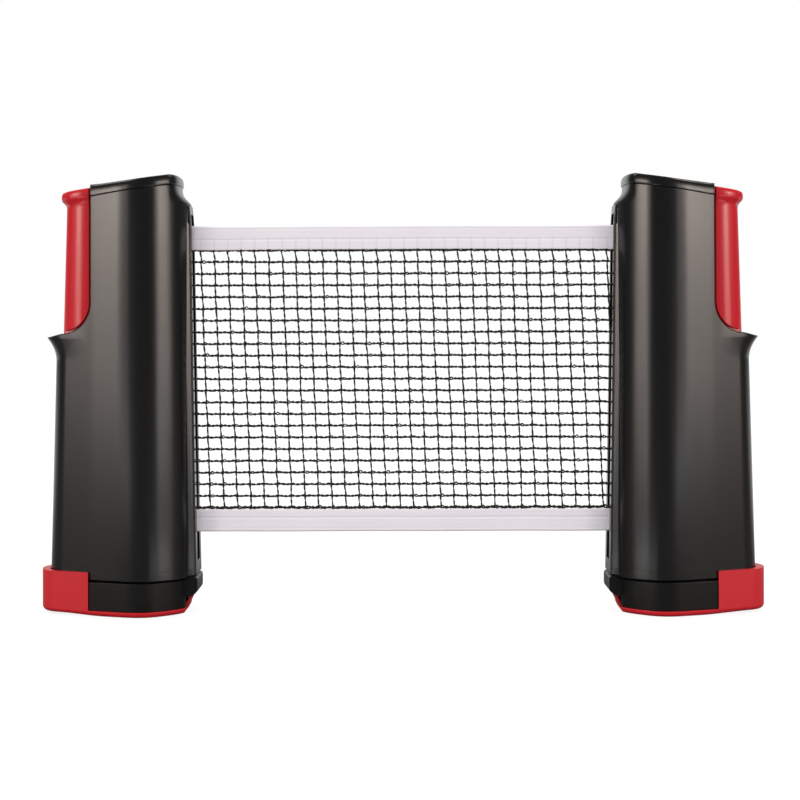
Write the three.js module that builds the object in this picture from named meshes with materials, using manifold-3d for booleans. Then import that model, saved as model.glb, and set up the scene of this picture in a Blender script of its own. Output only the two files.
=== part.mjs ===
// Retractable table tennis net: two spring-clamp posts with the net rolled up on a drum in each.
// Millimetres, +Z up, X along the net, floor at Z = 0, origin midway between the posts.
// Each post is built about the upright axis of its net drum, with its net side toward +X.
import * as THREE from 'three';
import { mergeVertices } from 'three/addons/utils/BufferGeometryUtils.js';
import Module from 'manifold-3d';

const wasm = await Module();
wasm.setup();

// ---- driving sizes -------------------------------------------------------------------------

const drumSpacing = 241.2; // between the drum axes of the two posts, as photographed

// clearances
const seatGap = 0.3; // between pieces that are fixed together
const slideGap = 0.4; // between pieces that slide on each other
const seamGap = 0.4; // open seam between mouldings
const bite = 0.3; // how far a boss or shelf runs into the wall that carries it
const clearPast = 1; // how far a cutting solid runs past the face that it cuts

// housing, teardrop in plan: a round barrel over the drum, a smaller heel over the slider
const wall = 2.3;
const barrelRadius = 22;
const heelRadius = 11;
const heelReach = 46.5; // from the drum axis to the heel's outer wall, at the base
const barrelDraft = Math.tan(THREE.MathUtils.degToRad(0.6));
const heelDraft = Math.tan(THREE.MathUtils.degToRad(1.5));

// heights, from the floor up
const padTop = 15.7; // top of the lower jaw
const jawGap = 0.9; // between the closed jaws
const baseBand = 3.8; // visible band of the base plate
const baseBottom = padTop + jawGap;
const housingBottom = baseBottom + baseBand + seamGap;
const capTopAtAxis = 203.6; // top of the cap over the drum axis
const capSlope = Math.tan(THREE.MathUtils.degToRad(7.9));
const capThickness = 4.8;
const capOverhang = 0.45;
const capLowEdge = 0.5; // height of the small slope at its lower edge
const capRimDrop = 1.1; // its rounded upper rim
const capRimInset = 0.6;
const capSpigot = 3; // how deep it plugs into the housing
const capSkin = 2.2;
const socketWall = 1.8;
const overCap = 10; // height of the blank above the cap before it is cut to the slant

// handle cut-out and finger lip of the housing
const cutEdge = 24.8; // from the drum axis to the upright edge of the cut-out
const cutRadius = 15;
const lipHeight = 129.2; // tip of the finger lip
const lipFlare = 4.6;
const lipBlend = 11; // height over which the flare grows
const lipLand = 2; // from the tip of the lip up to the foot of the cut-out's round
const lipFall = 0.6; // how much the land falls on its way out to the tip
const lipSlope = 0.082; // its slope past the tip

// neck at the top of the net side
const neckReach = 15.4; // from the drum axis to the neck under the cap
const neckHeight = 7.8;
const neckFoot = 1.3; // exponents of the hollow sweep, at its foot and under the cap
const neckHead = 2.4;
const neckTop = capTopAtAxis - 3.5;
const neckBottom = neckTop - neckHeight;

// net slot and the flat frame round it
const frameHalfLow = 9.6; // half the width of the frame's face, at the base
const frameHalfTaper = 0.02;
const frameFlank = 1.2; // how far each flank of the frame spreads toward its root
const frameFlankDepth = 2.4;
const frameCorner = 0.6;
const frameTop = 191.5; // the face runs out into the barrel here
const frameShoulder = 181;
const frameFaceLow = barrelRadius + 1.45; // from the drum axis to the frame's face, at the base
const frameFaceSlope = 0.0152;
const slotHalfWidth = 4;
const slotBottom = 24;
const slotTop = 187.5;

// inner walls of the housing
const partitionFace = 19.1; // from the drum axis to the wall between drum and slider
const partitionThickness = 1.8;
const shelfTop = 45; // seat of the clamp spring
const shelfThickness = 3;
const bossRadius = 3.2; // screw bosses in the corners between partition and side walls
const bossHeight = 17;
const bossRoof = 2; // closed end of each boss

// base plate
const spigotHeight = 2;
const basePadThickness = 1.1;
const basePadInset = 3.3;
const basePadStandOut = 0.4;

// handle and its channel
const handleWall = 2.2;
const handleOverlap = 1.9; // how far its flanks reach in behind the housing's edge
const handleDrop = 0.7; // its top below the line of the cap
const handleLip = 1.9; // rolled lip at its top
const handleLipHeight = 8.5;
const channelEdge = 30.4; // from the drum axis to the open edge of the lower channel
const channelTop = 125;
const armTop = 124;
const armThickness = 4;
const armReach = 21.9;
const ribThickness = 1.6;
const ribPitch = 20;
const ribEdge = 34.4;
const footHeight = 10.2;
const flankDrop = 2; // from the rolled lip down to where the flanks reach in

// foot, the lower jaw
const footStandOut = 0.6; // the foot's flanks outside the housing's
const footRadius = barrelRadius + footStandOut;
const footHeelRadius = heelRadius + 1.5;
const footReach = heelReach + 4;
const footNose = barrelRadius - 1; // from the drum axis to the round of the nose, before it is cut flat
const footRound = 1.8; // round of its lower edge, in plan and in height
const footRoundHeight = 2.3;
const padEdge = 0.6; // the pad's edge inside the foot's
const padChamfer = 0.4;
const tabChamfer = 0.6;
const tabRoot = 4; // how far the nose tab runs back over the pad
const plateThickness = 2.5;
const heelFloor = 4;
const wrapTop = 20.3;
const wrapEdge = 25.9; // from the drum axis to the end of the red wrap
const noseLow = barrelRadius - 4.4; // flat of the nose at the floor
const noseSlope = 0.47;
const bowTop = 7.6;
const bowWall = 1.3;
const bowHalfWidth = 5;
const padNose = barrelRadius - 3.8; // flat nose of the pad
const tabReach = barrelRadius + 2; // nose tab of the pad
const tabHalfWidth = 9.6;
const tabTop = 17;
const tabSlant = 9.4;

// drum
const tubeRadius = 8;
const tubeWall = 1.6;
const tubeBottom = 26.9;
const tubeTop = 190;
const plugLength = 6.2;
const flangeRadius = 11.5;
const flangeThickness = 1.5;
const journalRadius = 2.6;
const journalLength = 5.2;
const bushWall = 2;
const arborRadius = 2.5;
const arborTop = 124;
const arborFlangeRadius = 6;
const arborPinRadius = 2;
const arborPinDepth = 2.6;
const reelSpringRadius = 3.75;
const reelSpringWire = 1;
const reelSpringTop = 118;
const reelSpringCurls = 8;
const keyHalfWidth = 0.8;

// clamp spring
const springX = -25.7;
const springRadius = 3.5;
const springWire = 1.4;
const springCurls = 7;
const rodRadius = 1.6;
const rodTop = 134;
const rodTip = 0.9; // its tapered end: radius and height
const rodTaper = 1;
const rodSeatDepth = 1.6;

// screws
const screwRadius = 1.4;
const screwHeadRadius = 2.7;
const screwHeadHeight = 1.5;
const screwFace = 0.8; // shares of the radius at the face of the head and at the point
const screwPoint = 0.6;
const baseScrewLength = 13;
const jawScrewLength = 10;
const jawScrewX = -36;
const jawScrewY = 3.7;
const headRecess = 0.4;

// net
const netBottom = 37;
const netTop = 182.5;
const tapeHeight = 11.6;
const tapeThickness = 1.4;
const netThickness = 0.9;
const strandWidth = 1.1;
const netColumns = 17;
const netRows = 12;
const rollRadius = 14;
const rollLayer = 0.8;
const bendX = 20; // from the drum axis to the fold of the net inside the slot

// facets
const barrelSteps = 20;
const heelSteps = 8;
const roundSides = 14;
const smallSides = 10;
const holeSides = 12;

// ---- solids --------------------------------------------------------------------------------

function solidOf(geometry) {
  geometry.deleteAttribute('normal');
  geometry.deleteAttribute('uv');
  const merged = mergeVertices(geometry, 1e-5);
  return new wasm.Manifold(new wasm.Mesh({
    numProp: 3,
    vertProperties: new Float32Array(merged.attributes.position.array),
    triVerts: new Uint32Array(merged.index.array),
  }));
}

// Closed skin through rings of equal count, each counter-clockwise seen from above.
function loft(rings) {
  const count = rings[0].length;
  const positions = rings.flat(2);
  const index = [];
  for (let level = 0; level < rings.length - 1; level++) {
    for (let i = 0; i < count; i++) {
      const a = level * count + i;
      const b = level * count + (i + 1) % count;
      index.push(a, b, b + count, a, b + count, a + count);
    }
  }
  const top = (rings.length - 1) * count;
  const capOf = (ring) => THREE.ShapeUtils.triangulateShape(ring.map(([x, y]) => new THREE.Vector2(x, y)), []);
  for (const [a, b, c] of capOf(rings[0])) index.push(a, c, b);
  for (const [a, b, c] of capOf(rings[rings.length - 1])) index.push(top + a, top + b, top + c);
  const geometry = new THREE.BufferGeometry();
  geometry.setAttribute('position', new THREE.Float32BufferAttribute(positions, 3));
  geometry.setIndex(index);
  return solidOf(geometry);
}

function box([x0, x1], [y0, y1], [z0, z1]) {
  const geometry = new THREE.BoxGeometry(x1 - x0, y1 - y0, z1 - z0);
  geometry.translate((x0 + x1) / 2, (y0 + y1) / 2, (z0 + z1) / 2);
  return solidOf(geometry);
}

function rod(x, y, [z0, z1], radius, sides = roundSides) {
  const geometry = new THREE.CylinderGeometry(radius, radius, z1 - z0, sides);
  geometry.rotateX(Math.PI / 2);
  geometry.translate(x, y, (z0 + z1) / 2);
  return solidOf(geometry);
}

// Solid of revolution about an upright axis; the profile holds [radius, height] pairs.
function turned(x, y, profile, sides = roundSides) {
  const onAxis = profile[0][0] === 0;
  const closed = onAxis ? profile : [...profile, profile[0]];
  const geometry = new THREE.LatheGeometry(closed.map(([r, z]) => new THREE.Vector2(r, z)), sides);
  geometry.rotateX(Math.PI / 2);
  geometry.translate(x, y, 0);
  return solidOf(geometry);
}

// Outline drawn in the X-Z plane and pushed through from y0 to y1.
function acrossY(shape, [y0, y1], curveSegments = 6) {
  const geometry = new THREE.ExtrudeGeometry(shape, { depth: y1 - y0, bevelEnabled: false, curveSegments });
  geometry.rotateX(Math.PI / 2);
  geometry.translate(0, y1, 0);
  return solidOf(geometry);
}

// Outline drawn in plan and pushed up from z0 to z1.
function upright(shape, [z0, z1], curveSegments = 6) {
  const geometry = new THREE.ExtrudeGeometry(shape, { depth: z1 - z0, bevelEnabled: false, curveSegments });
  geometry.translate(0, 0, z0);
  return solidOf(geometry);
}

function polygon(points) {
  return new THREE.Shape(points.map(([x, y]) => new THREE.Vector2(x, y)));
}

// Least gap between stretches of a round wire that lie half a turn or more apart.
function leastGap(centres, wire, stepsPerTurn) {
  let least = Infinity;
  for (let i = 0; i < centres.length; i++) {
    for (let k = i + stepsPerTurn / 2; k < centres.length; k++) {
      least = Math.min(least, centres[i].distanceTo(centres[k]) - wire);
    }
  }
  return least;
}

// Helical wire of five sides, eight steps a turn.
function helix(name, x, y, [z0, z1], radius, wire, curls) {
  const stepsPerTurn = 8;
  const steps = curls * stepsPerTurn;
  const sides = 5;
  const centres = [];
  const rings = [];
  const rise = (z1 - z0 - wire) / steps;
  for (let i = 0; i <= steps; i++) {
    const turn = (i / stepsPerTurn) * 2 * Math.PI;
    const out = new THREE.Vector3(Math.cos(turn), Math.sin(turn), 0);
    const climb = (rise * stepsPerTurn) / (2 * Math.PI);
    const along = new THREE.Vector3(-out.y * radius, out.x * radius, climb).normalize();
    const up = out.clone().cross(along).normalize();
    const centre = new THREE.Vector3(x, y, z0 + wire / 2 + i * rise).addScaledVector(out, radius);
    centres.push(centre);
    const ring = [];
    for (let k = 0; k < sides; k++) {
      const spin = (k / sides) * 2 * Math.PI;
      const point = centre.clone();
      point.addScaledVector(out, Math.cos(spin) * wire / 2);
      point.addScaledVector(up, Math.sin(spin) * wire / 2);
      ring.push([point.x, point.y, point.z]);
    }
    rings.push(ring);
  }
  console.log(`${name}: least gap between turns ${leastGap(centres, wire, stepsPerTurn).toFixed(2)} mm`);
  const positions = rings.flat(2);
  const index = [];
  for (let i = 0; i < steps; i++) {
    for (let k = 0; k < sides; k++) {
      const a = i * sides + k;
      const b = i * sides + (k + 1) % sides;
      index.push(a, b + sides, b, a, a + sides, b + sides);
    }
  }
  const last = steps * sides;
  for (let k = 1; k < sides - 1; k++) {
    index.push(0, k, k + 1);
    index.push(last, last + k + 1, last + k);
  }
  const geometry = new THREE.BufferGeometry();
  geometry.setAttribute('position', new THREE.Float32BufferAttribute(positions, 3));
  geometry.setIndex(index);
  return solidOf(geometry);
}

// ---- outlines ------------------------------------------------------------------------------

// Teardrop in plan: a large circle at (centre, 0) and a small one toward -X, with their tangents.
function teardrop({ centre, large, small, reach }) {
  const smallCentre = -(reach - small);
  const lean = Math.asin((large - small) / (centre - smallCentre));
  const half = Math.PI / 2 + lean;
  const points = [];
  for (let i = 0; i <= barrelSteps; i++) {
    const angle = -half + (2 * half * i) / barrelSteps;
    points.push([centre + large * Math.cos(angle), large * Math.sin(angle)]);
  }
  for (let i = 0; i <= heelSteps; i++) {
    const angle = half + ((2 * Math.PI - 2 * half) * i) / heelSteps;
    points.push([smallCentre + small * Math.cos(angle), small * Math.sin(angle)]);
  }
  return points;
}

// Outside of the housing at height z, drawn in by inset, with the heel pushed out by push.
function housingOutline(z, inset, push = 0) {
  const rise = z - baseBottom;
  return teardrop({
    centre: 0,
    large: barrelRadius - rise * barrelDraft - inset,
    small: heelRadius - rise * barrelDraft - inset,
    reach: heelReach - rise * heelDraft - inset + push,
  });
}

function level(points, z) {
  return points.map(([x, y]) => [x, y, z]);
}

// Draws the net side of an outline in toward the neck: a hollow sweep with a soft shoulder below it.
function necked([x, y], z, inset) {
  if (x <= 0) return [x, y];
  const rise = THREE.MathUtils.clamp((z - neckBottom) / neckHeight, 0, 1);
  const share = 1 - (1 - rise ** neckFoot) ** neckHead;
  const barrel = barrelRadius - (z - baseBottom) * barrelDraft;
  const neck = (neckReach - inset) / (barrel - inset);
  return [x * (1 - (1 - neck) * share), y];
}

function neckedLevel(z, inset) {
  return housingOutline(z, inset).map((point) => [...necked(point, z, inset), z]);
}

function housingLoft([z0, z1], inset) {
  return loft([level(housingOutline(z0, inset), z0), level(housingOutline(z1, inset), z1)]);
}

function capTop(x) {
  return capTopAtAxis + x * capSlope;
}

// Ring parallel to the slanted cap, drop below its top.
function slantedRing(inset, drop, push = 0) {
  const points = housingOutline(capTopAtAxis - drop, inset, push);
  return points.map((point) => {
    const [x, y] = necked(point, capTop(point[0]) - drop, inset);
    return [x, y, capTop(x) - drop];
  });
}

const farOut = 80; // past every outline of a post
const farUp = 260; // above every post

// Everything above the slanted plane that lies drop below the cap's top.
function aboveSlant(drop) {
  return acrossY(polygon([
    [-farOut, capTop(-farOut) - drop],
    [farOut, capTop(farOut) - drop],
    [farOut, farUp],
    [-farOut, farUp],
  ]), [-farOut, farOut]);
}

// Cut-out for the handle: upright edge, quarter round, then out over the finger lip.
function handleCut() {
  const shape = new THREE.Shape();
  const roundX = -cutEdge - cutRadius;
  const roundZ = lipHeight + lipLand + cutRadius;
  const lipX = -heelReach - lipFlare;
  shape.moveTo(-cutEdge, farUp);
  shape.lineTo(-cutEdge, roundZ);
  shape.absarc(roundX, roundZ, cutRadius, 0, -Math.PI / 2, true);
  shape.lineTo(lipX, lipHeight - lipFall);
  shape.lineTo(-farOut, lipHeight - lipFall - (farOut + lipX) * lipSlope);
  shape.lineTo(-farOut, farUp);
  shape.closePath();
  return acrossY(shape, [-farOut, farOut], 8);
}

function frameFace(z) {
  const leaning = (height) => frameFaceLow - (height - baseBottom) * frameFaceSlope;
  if (z <= frameShoulder) return leaning(z);
  const flush = barrelRadius - (frameTop - baseBottom) * barrelDraft;
  return THREE.MathUtils.mapLinear(z, frameShoulder, frameTop, leaning(frameShoulder), flush);
}

// Upright block with spreading flanks and a leaning face round the net slot.
function frameBlock(heights) {
  return loft(heights.map((z) => {
    const face = frameFace(z);
    const half = frameHalfLow - (z - baseBottom) * frameHalfTaper;
    const side = [
      [0, half + frameFlank],
      [face - frameFlankDepth, half + frameFlank],
      [face - frameCorner, half],
      [face, half - frameCorner],
    ];
    return level([...side.map(([x, y]) => [x, -y]), ...side.reverse()], z);
  }));
}

// Axes of the two screw bosses, each biting into the partition and into a side wall.
function bossPlaces() {
  const x = -(partitionFace - bossRadius + bite);
  const large = barrelRadius - wall;
  const small = heelRadius - wall;
  const lean = Math.asin((large - small) / (heelReach - wall - small));
  const sideWall = (large + x * Math.sin(lean)) / Math.cos(lean);
  const y = sideWall - (bossRadius - bite) / Math.cos(lean);
  return [[x, -y], [x, y]];
}

// ---- housing body --------------------------------------------------------------------------

function housing() {
  const flareSteps = 4;
  const rings = [level(housingOutline(housingBottom, 0), housingBottom)];
  for (let i = 0; i <= flareSteps; i++) {
    const share = i / flareSteps;
    const z = lipHeight - lipBlend + share * lipBlend;
    rings.push(level(housingOutline(z, 0, lipFlare * share * share), z));
  }
  const aboveLip = lipHeight + lipLand;
  rings.push(level(housingOutline(aboveLip, 0, lipFlare), aboveLip));
  const overLip = aboveLip + cutRadius;
  rings.push(level(housingOutline(overLip, 0), overLip));
  const neckSteps = 4;
  for (let i = 0; i <= neckSteps; i++) rings.push(neckedLevel(neckBottom + (neckHeight * i) / neckSteps, 0));
  rings.push(neckedLevel(capTopAtAxis + overCap, 0));

  const outside = loft(rings);
  const voidHeights = [housingBottom - clearPast, neckBottom, neckTop, capTopAtAxis + overCap + clearPast];
  const innerVoid = loft(voidHeights.map((z) => neckedLevel(z, wall)));
  let shell = outside.add(frameBlock([housingBottom, frameShoulder, frameTop]))
    .subtract(innerVoid)
    .subtract(box([barrelRadius / 2, farOut], [-slotHalfWidth, slotHalfWidth], [slotBottom, slotTop]));

  const bossBottom = baseBottom + baseBand + spigotHeight + seamGap;
  const bosses = bossPlaces();
  const fill = housingLoft([bossBottom, neckBottom], wall / 2);
  const partition = box(
    [-partitionFace - partitionThickness, -partitionFace],
    [-barrelRadius, barrelRadius],
    [bossBottom, slotTop + seamGap],
  );
  const shelf = box(
    [-channelEdge + slideGap, -partitionFace - bite],
    [-barrelRadius, barrelRadius],
    [shelfTop - shelfThickness, shelfTop],
  );
  let inner = partition.add(shelf);
  for (const [x, y] of bosses) {
    inner = inner.add(rod(x, y, [bossBottom, bossBottom + bossHeight], bossRadius));
  }
  shell = shell.add(inner.intersect(fill));
  for (const [x, y] of bosses) {
    const holeTop = bossBottom + bossHeight - bossRoof;
    shell = shell.subtract(rod(x, y, [bossBottom - clearPast, holeTop], screwRadius + seatGap));
  }
  const rodSeat = [shelfTop - rodSeatDepth - seatGap, shelfTop + clearPast];
  shell = shell.subtract(rod(springX, 0, rodSeat, rodRadius + seatGap));
  return shell.subtract(handleCut()).subtract(aboveSlant(capThickness + seatGap));
}

function topCap() {
  const slab = loft([
    slantedRing(0, capThickness),
    slantedRing(-capOverhang, capThickness - capLowEdge),
    slantedRing(-capOverhang, capRimDrop),
    slantedRing(capRimInset, 0),
  ]);
  const under = loft([
    slantedRing(wall, capThickness + clearPast),
    slantedRing(wall, capSkin),
  ]);
  const spigotEnd = capThickness + capSpigot;
  const spigot = loft([slantedRing(wall + slideGap, spigotEnd), slantedRing(wall + slideGap, capSkin / 2)])
    .subtract(loft([slantedRing(2 * wall, spigotEnd + clearPast), slantedRing(2 * wall, capSkin)]));
  const bushRadius = journalRadius + slideGap + bushWall;
  const socket = turned(0, 0, [
    [bushRadius + seatGap, journalLow()],
    [bushRadius + seatGap + socketWall, journalLow()],
    [bushRadius + seatGap + socketWall, capTopAtAxis - capSkin / 2],
    [bushRadius + seatGap, capTopAtAxis - capSkin / 2],
  ]);
  const keep = box([-cutEdge, farOut], [-farOut, farOut], [0, farUp]);
  const keepInner = box([-partitionFace, farOut], [-farOut, farOut], [0, farUp]);
  return slab.subtract(under).intersect(keep).add(spigot.intersect(keepInner)).add(socket);
}

function basePlate() {
  const top = baseBottom + baseBand;
  let plate = housingLoft([baseBottom, top], 0)
    .add(frameBlock([tabTop + jawGap, top]))
    .add(housingLoft([top - clearPast, top + spigotHeight], wall + slideGap));
  const channelHole = housingLoft([baseBottom - clearPast, top + spigotHeight + clearPast], wall)
    .intersect(box([-farOut, -channelEdge + slideGap], [-farOut, farOut], [0, farUp]));
  const pocketTop = baseBottom - basePadStandOut + basePadThickness + seatGap;
  const pocket = basePadBlank(basePadInset - seatGap, [baseBottom - clearPast, pocketTop]);
  plate = plate.subtract(channelHole).subtract(pocket);
  const seat = baseScrewSeat();
  for (const [x, y] of bossPlaces()) {
    plate = plate
      .subtract(rod(x, y, [baseBottom - clearPast, farUp], screwRadius + seatGap))
      .subtract(rod(x, y, [baseBottom - clearPast, seat + seatGap], screwHeadRadius + seatGap));
  }
  return plate.subtract(rod(0, 0, [top + spigotHeight - arborPinDepth - seatGap, farUp], arborPinRadius + seatGap));
}

function basePadBlank(inset, [z0, z1]) {
  return housingLoft([z0, z1], inset).intersect(box([-wrapEdge + inset, farOut], [-farOut, farOut], [0, farUp]));
}

function basePad() {
  const bottom = baseBottom - basePadStandOut;
  return basePadBlank(basePadInset, [bottom, bottom + basePadThickness]);
}

function baseScrewSeat() {
  return baseBottom - basePadStandOut + basePadThickness + 2 * seatGap + screwHeadHeight;
}

function screw(x, y, underHead, length) {
  return turned(x, y, [
    [0, underHead - screwHeadHeight],
    [screwHeadRadius * screwFace, underHead - screwHeadHeight],
    [screwHeadRadius, underHead],
    [screwRadius, underHead],
    [screwRadius * screwPoint, underHead + length],
    [0, underHead + length],
  ], smallSides);
}

function reelArbor() {
  const seat = baseBottom + baseBand + spigotHeight;
  const flangeTop = tubeBottom - seatGap - flangeThickness - slideGap;
  return turned(0, 0, [
    [0, seat - arborPinDepth],
    [arborPinRadius, seat - arborPinDepth],
    [arborPinRadius, seat + seatGap],
    [arborFlangeRadius, seat + seatGap],
    [arborFlangeRadius, flangeTop],
    [arborRadius, flangeTop],
    [arborRadius, arborTop],
    [0, arborTop],
  ]);
}

function journalLow() {
  return tubeTop + seatGap + flangeThickness + slideGap;
}

function upperBush() {
  const inner = journalRadius + slideGap;
  const top = capTop(-inner - bushWall) - capThickness;
  return turned(0, 0, [
    [inner, journalLow()],
    [inner + bushWall, journalLow()],
    [inner + bushWall, top],
    [inner, top],
  ]);
}

function guideRod() {
  return turned(springX, 0, [
    [0, shelfTop - rodSeatDepth],
    [rodRadius, shelfTop - rodSeatDepth],
    [rodRadius, rodTop - rodTaper],
    [rodTip, rodTop],
    [0, rodTop],
  ], smallSides);
}

// ---- drum body -----------------------------------------------------------------------------

function reelTube() {
  const ring = turned(0, 0, [
    [tubeRadius - tubeWall, tubeBottom],
    [tubeRadius, tubeBottom],
    [tubeRadius, tubeTop],
    [tubeRadius - tubeWall, tubeTop],
  ], 16);
  const slitHalf = keyHalfWidth + seatGap;
  return ring.subtract(box([-tubeRadius - clearPast, 0], [-slitHalf, slitHalf], [netBottom, netTop]));
}

function netKey() {
  const outer = tubeRadius - seatGap / 3;
  return box(
    [-outer, -outer + tubeWall - seatGap],
    [-keyHalfWidth, keyHalfWidth],
    [netBottom + seatGap, netTop - seatGap],
  );
}

function reelBottomPlug() {
  const bore = arborRadius + slideGap;
  const plug = tubeRadius - tubeWall - seatGap;
  const shoulder = tubeBottom - seatGap;
  return turned(0, 0, [
    [bore, shoulder - flangeThickness],
    [flangeRadius, shoulder - flangeThickness],
    [flangeRadius, shoulder],
    [plug, shoulder],
    [plug, shoulder + plugLength],
    [bore, shoulder + plugLength],
  ]);
}

function reelTopPlug() {
  const plug = tubeRadius - tubeWall - seatGap;
  const shoulder = tubeTop + seatGap;
  return turned(0, 0, [
    [0, shoulder - plugLength],
    [plug, shoulder - plugLength],
    [plug, shoulder],
    [flangeRadius, shoulder],
    [flangeRadius, shoulder + flangeThickness],
    [journalRadius, shoulder + flangeThickness],
    [journalRadius, shoulder + flangeThickness + journalLength],
    [0, shoulder + flangeThickness + journalLength],
  ]);
}

function reelSpring() {
  const bottom = tubeBottom + plugLength;
  return helix('reel_spring', 0, 0, [bottom, reelSpringTop], reelSpringRadius, reelSpringWire, reelSpringCurls);
}

// Wound net: a snail outline whose last layer ends in a step.
function netRoll() {
  const steps = 22;
  const shape = new THREE.Shape();
  for (let i = 0; i <= steps; i++) {
    const angle = (2 * Math.PI * i) / steps;
    const radius = rollRadius - rollLayer * (1 - i / steps);
    const x = radius * Math.cos(angle);
    const y = radius * Math.sin(angle);
    if (i === 0) shape.moveTo(x, y);
    else shape.lineTo(x, i === steps ? 0 : y);
  }
  shape.closePath();
  const roll = upright(shape, [netBottom, netTop]);
  return roll.subtract(rod(0, 0, [netBottom - clearPast, netTop + clearPast], tubeRadius + seatGap, 16));
}

// ---- clamp body ----------------------------------------------------------------------------

const handleInset = wall + slideGap;
const handleFootBottom = heelFloor + seatGap;

function handleTop(x) {
  return capTop(x) - handleDrop;
}

function handleRing(inset, drop, push) {
  const points = housingOutline(capTopAtAxis - handleDrop - drop, inset, push);
  return points.map(([x, y]) => [x, y, handleTop(x) - drop]);
}

function clampHandle() {
  // rolled lip: shares of its height down from the top, and of its stand-out
  const lipShape = [[1, 0], [0.75, 0.15], [0.58, 0.6], [0.38, 1], [0.14, 1], [0, 0.55]];
  const outerRings = [level(housingOutline(handleFootBottom, handleInset), handleFootBottom)];
  for (const [drop, share] of lipShape) {
    outerRings.push(handleRing(handleInset, drop * handleLipHeight, share * handleLip));
  }
  const outside = loft(outerRings);
  const innerInset = handleInset + handleWall;
  const hollow = loft([
    level(housingOutline(handleFootBottom - clearPast, innerInset), handleFootBottom - clearPast),
    handleRing(innerInset, handleLipHeight, 0),
    handleRing(innerInset, handleWall, 0),
  ]);
  const upperLimit = box([-farOut, -cutEdge + handleOverlap], [-farOut, farOut], [channelTop, farUp]);
  const lowerLimit = box([-farOut, -channelEdge], [-farOut, farOut], [0, channelTop]);
  const limits = upperLimit.add(lowerLimit);
  const flankCut = acrossY(polygon([
    [-cutEdge - seamGap, handleTop(-cutEdge) - handleLipHeight - flankDrop],
    [farOut, handleTop(-cutEdge) - handleLipHeight - flankDrop],
    [farOut, farUp],
    [-cutEdge - seamGap, farUp],
  ]), [-farOut, farOut]);
  let handle = outside.subtract(hollow).intersect(limits);

  const fillInset = handleInset + handleWall / 2;
  const fill = housingLoft([handleFootBottom, channelTop], fillInset);
  let inner = box([-farOut, -channelEdge], [-farOut, farOut], [handleFootBottom, handleFootBottom + footHeight]);
  inner = inner.add(box([-farOut, -armReach], [-farOut, farOut], [armTop - armThickness, armTop]));
  for (let z = handleFootBottom + footHeight + ribPitch; z < armTop - armThickness - ribPitch / 2; z += ribPitch) {
    inner = inner.add(box([-farOut, -ribEdge], [-farOut, farOut], [z, z + ribThickness]));
  }
  handle = handle.add(inner.intersect(fill)).subtract(flankCut);
  const armHole = [armTop - armThickness - clearPast, armTop + clearPast];
  handle = handle.subtract(rod(springX, 0, armHole, rodRadius + slideGap));
  for (const y of [-jawScrewY, jawScrewY]) {
    const depth = handleFootBottom + jawScrewLength;
    handle = handle.subtract(rod(jawScrewX, y, [0, depth], screwRadius + seatGap, holeSides));
  }
  return handle;
}

function footOutline(inset) {
  return teardrop({
    centre: footNose - footRadius,
    large: footRadius - inset,
    small: footHeelRadius - inset,
    reach: footReach - inset,
  });
}

// Everything in front of the flat nose, which leans out like a bow; back moves it toward the drum axis.
function beyondNose(back) {
  return acrossY(polygon([
    [noseLow - noseSlope * clearPast - back, -clearPast],
    [farOut, -clearPast],
    [farOut, farOut],
    [noseLow + noseSlope * farOut - back, farOut],
  ]), [-farOut, farOut]);
}

// The upright part of the nose that closes the front of the pad.
function bowRegion(thickness, grow) {
  return box([0, farOut], [-bowHalfWidth - grow, bowHalfWidth + grow], [plateThickness - clearPast, bowTop + grow])
    .intersect(beyondNose(thickness));
}

function clampJaw() {
  const rings = [0, 1, 2].map((step) => {
    const angle = (step * Math.PI) / 4;
    return level(footOutline(footRound * (1 - Math.sin(angle))), footRoundHeight * (1 - Math.cos(angle)));
  });
  const outside = loft([...rings, level(footOutline(0), wrapTop)]).subtract(beyondNose(0));
  const padRoom = box([-wrapEdge, farOut], [-farOut, farOut], [plateThickness, farUp])
    .subtract(bowRegion(bowWall, 0));
  const housingRoom = housingLoft([heelFloor, wrapTop + clearPast], -slideGap)
    .intersect(box([-farOut, -wrapEdge + clearPast], [-farOut, farOut], [0, farUp]));
  let jaw = outside.subtract(padRoom).subtract(housingRoom);
  const hole = [-clearPast, heelFloor + clearPast];
  const headRoom = [-clearPast, jawScrewSeat() + seatGap / 3];
  for (const y of [-jawScrewY, jawScrewY]) {
    jaw = jaw
      .subtract(rod(jawScrewX, y, hole, screwRadius + seatGap, holeSides))
      .subtract(rod(jawScrewX, y, headRoom, screwHeadRadius + seatGap, holeSides));
  }
  return jaw;
}

function jawScrewSeat() {
  return headRecess + screwHeadHeight;
}

function jawPad() {
  const bottom = plateThickness + seatGap;
  const block = loft([
    level(footOutline(padEdge), bottom),
    level(footOutline(padEdge), padTop - padChamfer),
    level(footOutline(padEdge + padChamfer), padTop),
  ])
    .intersect(box([-wrapEdge + seatGap, padNose], [-farOut, farOut], [0, farUp]))
    .subtract(bowRegion(bowWall + seatGap, seatGap));
  const tabBottom = bowTop + seatGap;
  const tab = acrossY(polygon([
    [padNose - tabRoot, tabBottom],
    [noseLow + noseSlope * bowTop, tabBottom],
    [tabReach, tabSlant],
    [tabReach, tabTop - tabChamfer],
    [tabReach - tabChamfer, tabTop],
    [padNose - tabRoot, tabTop],
  ]), [-tabHalfWidth, tabHalfWidth]);
  const plateRoom = housingLoft([padTop, tabTop + clearPast], -slideGap);
  return block.add(tab.subtract(plateRoom));
}

function clampSpring() {
  const ends = [shelfTop + seatGap, armTop - armThickness - seatGap];
  return helix('clamp_spring', springX, 0, ends, springRadius, springWire, springCurls);
}

// ---- net -----------------------------------------------------------------------------------

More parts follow.
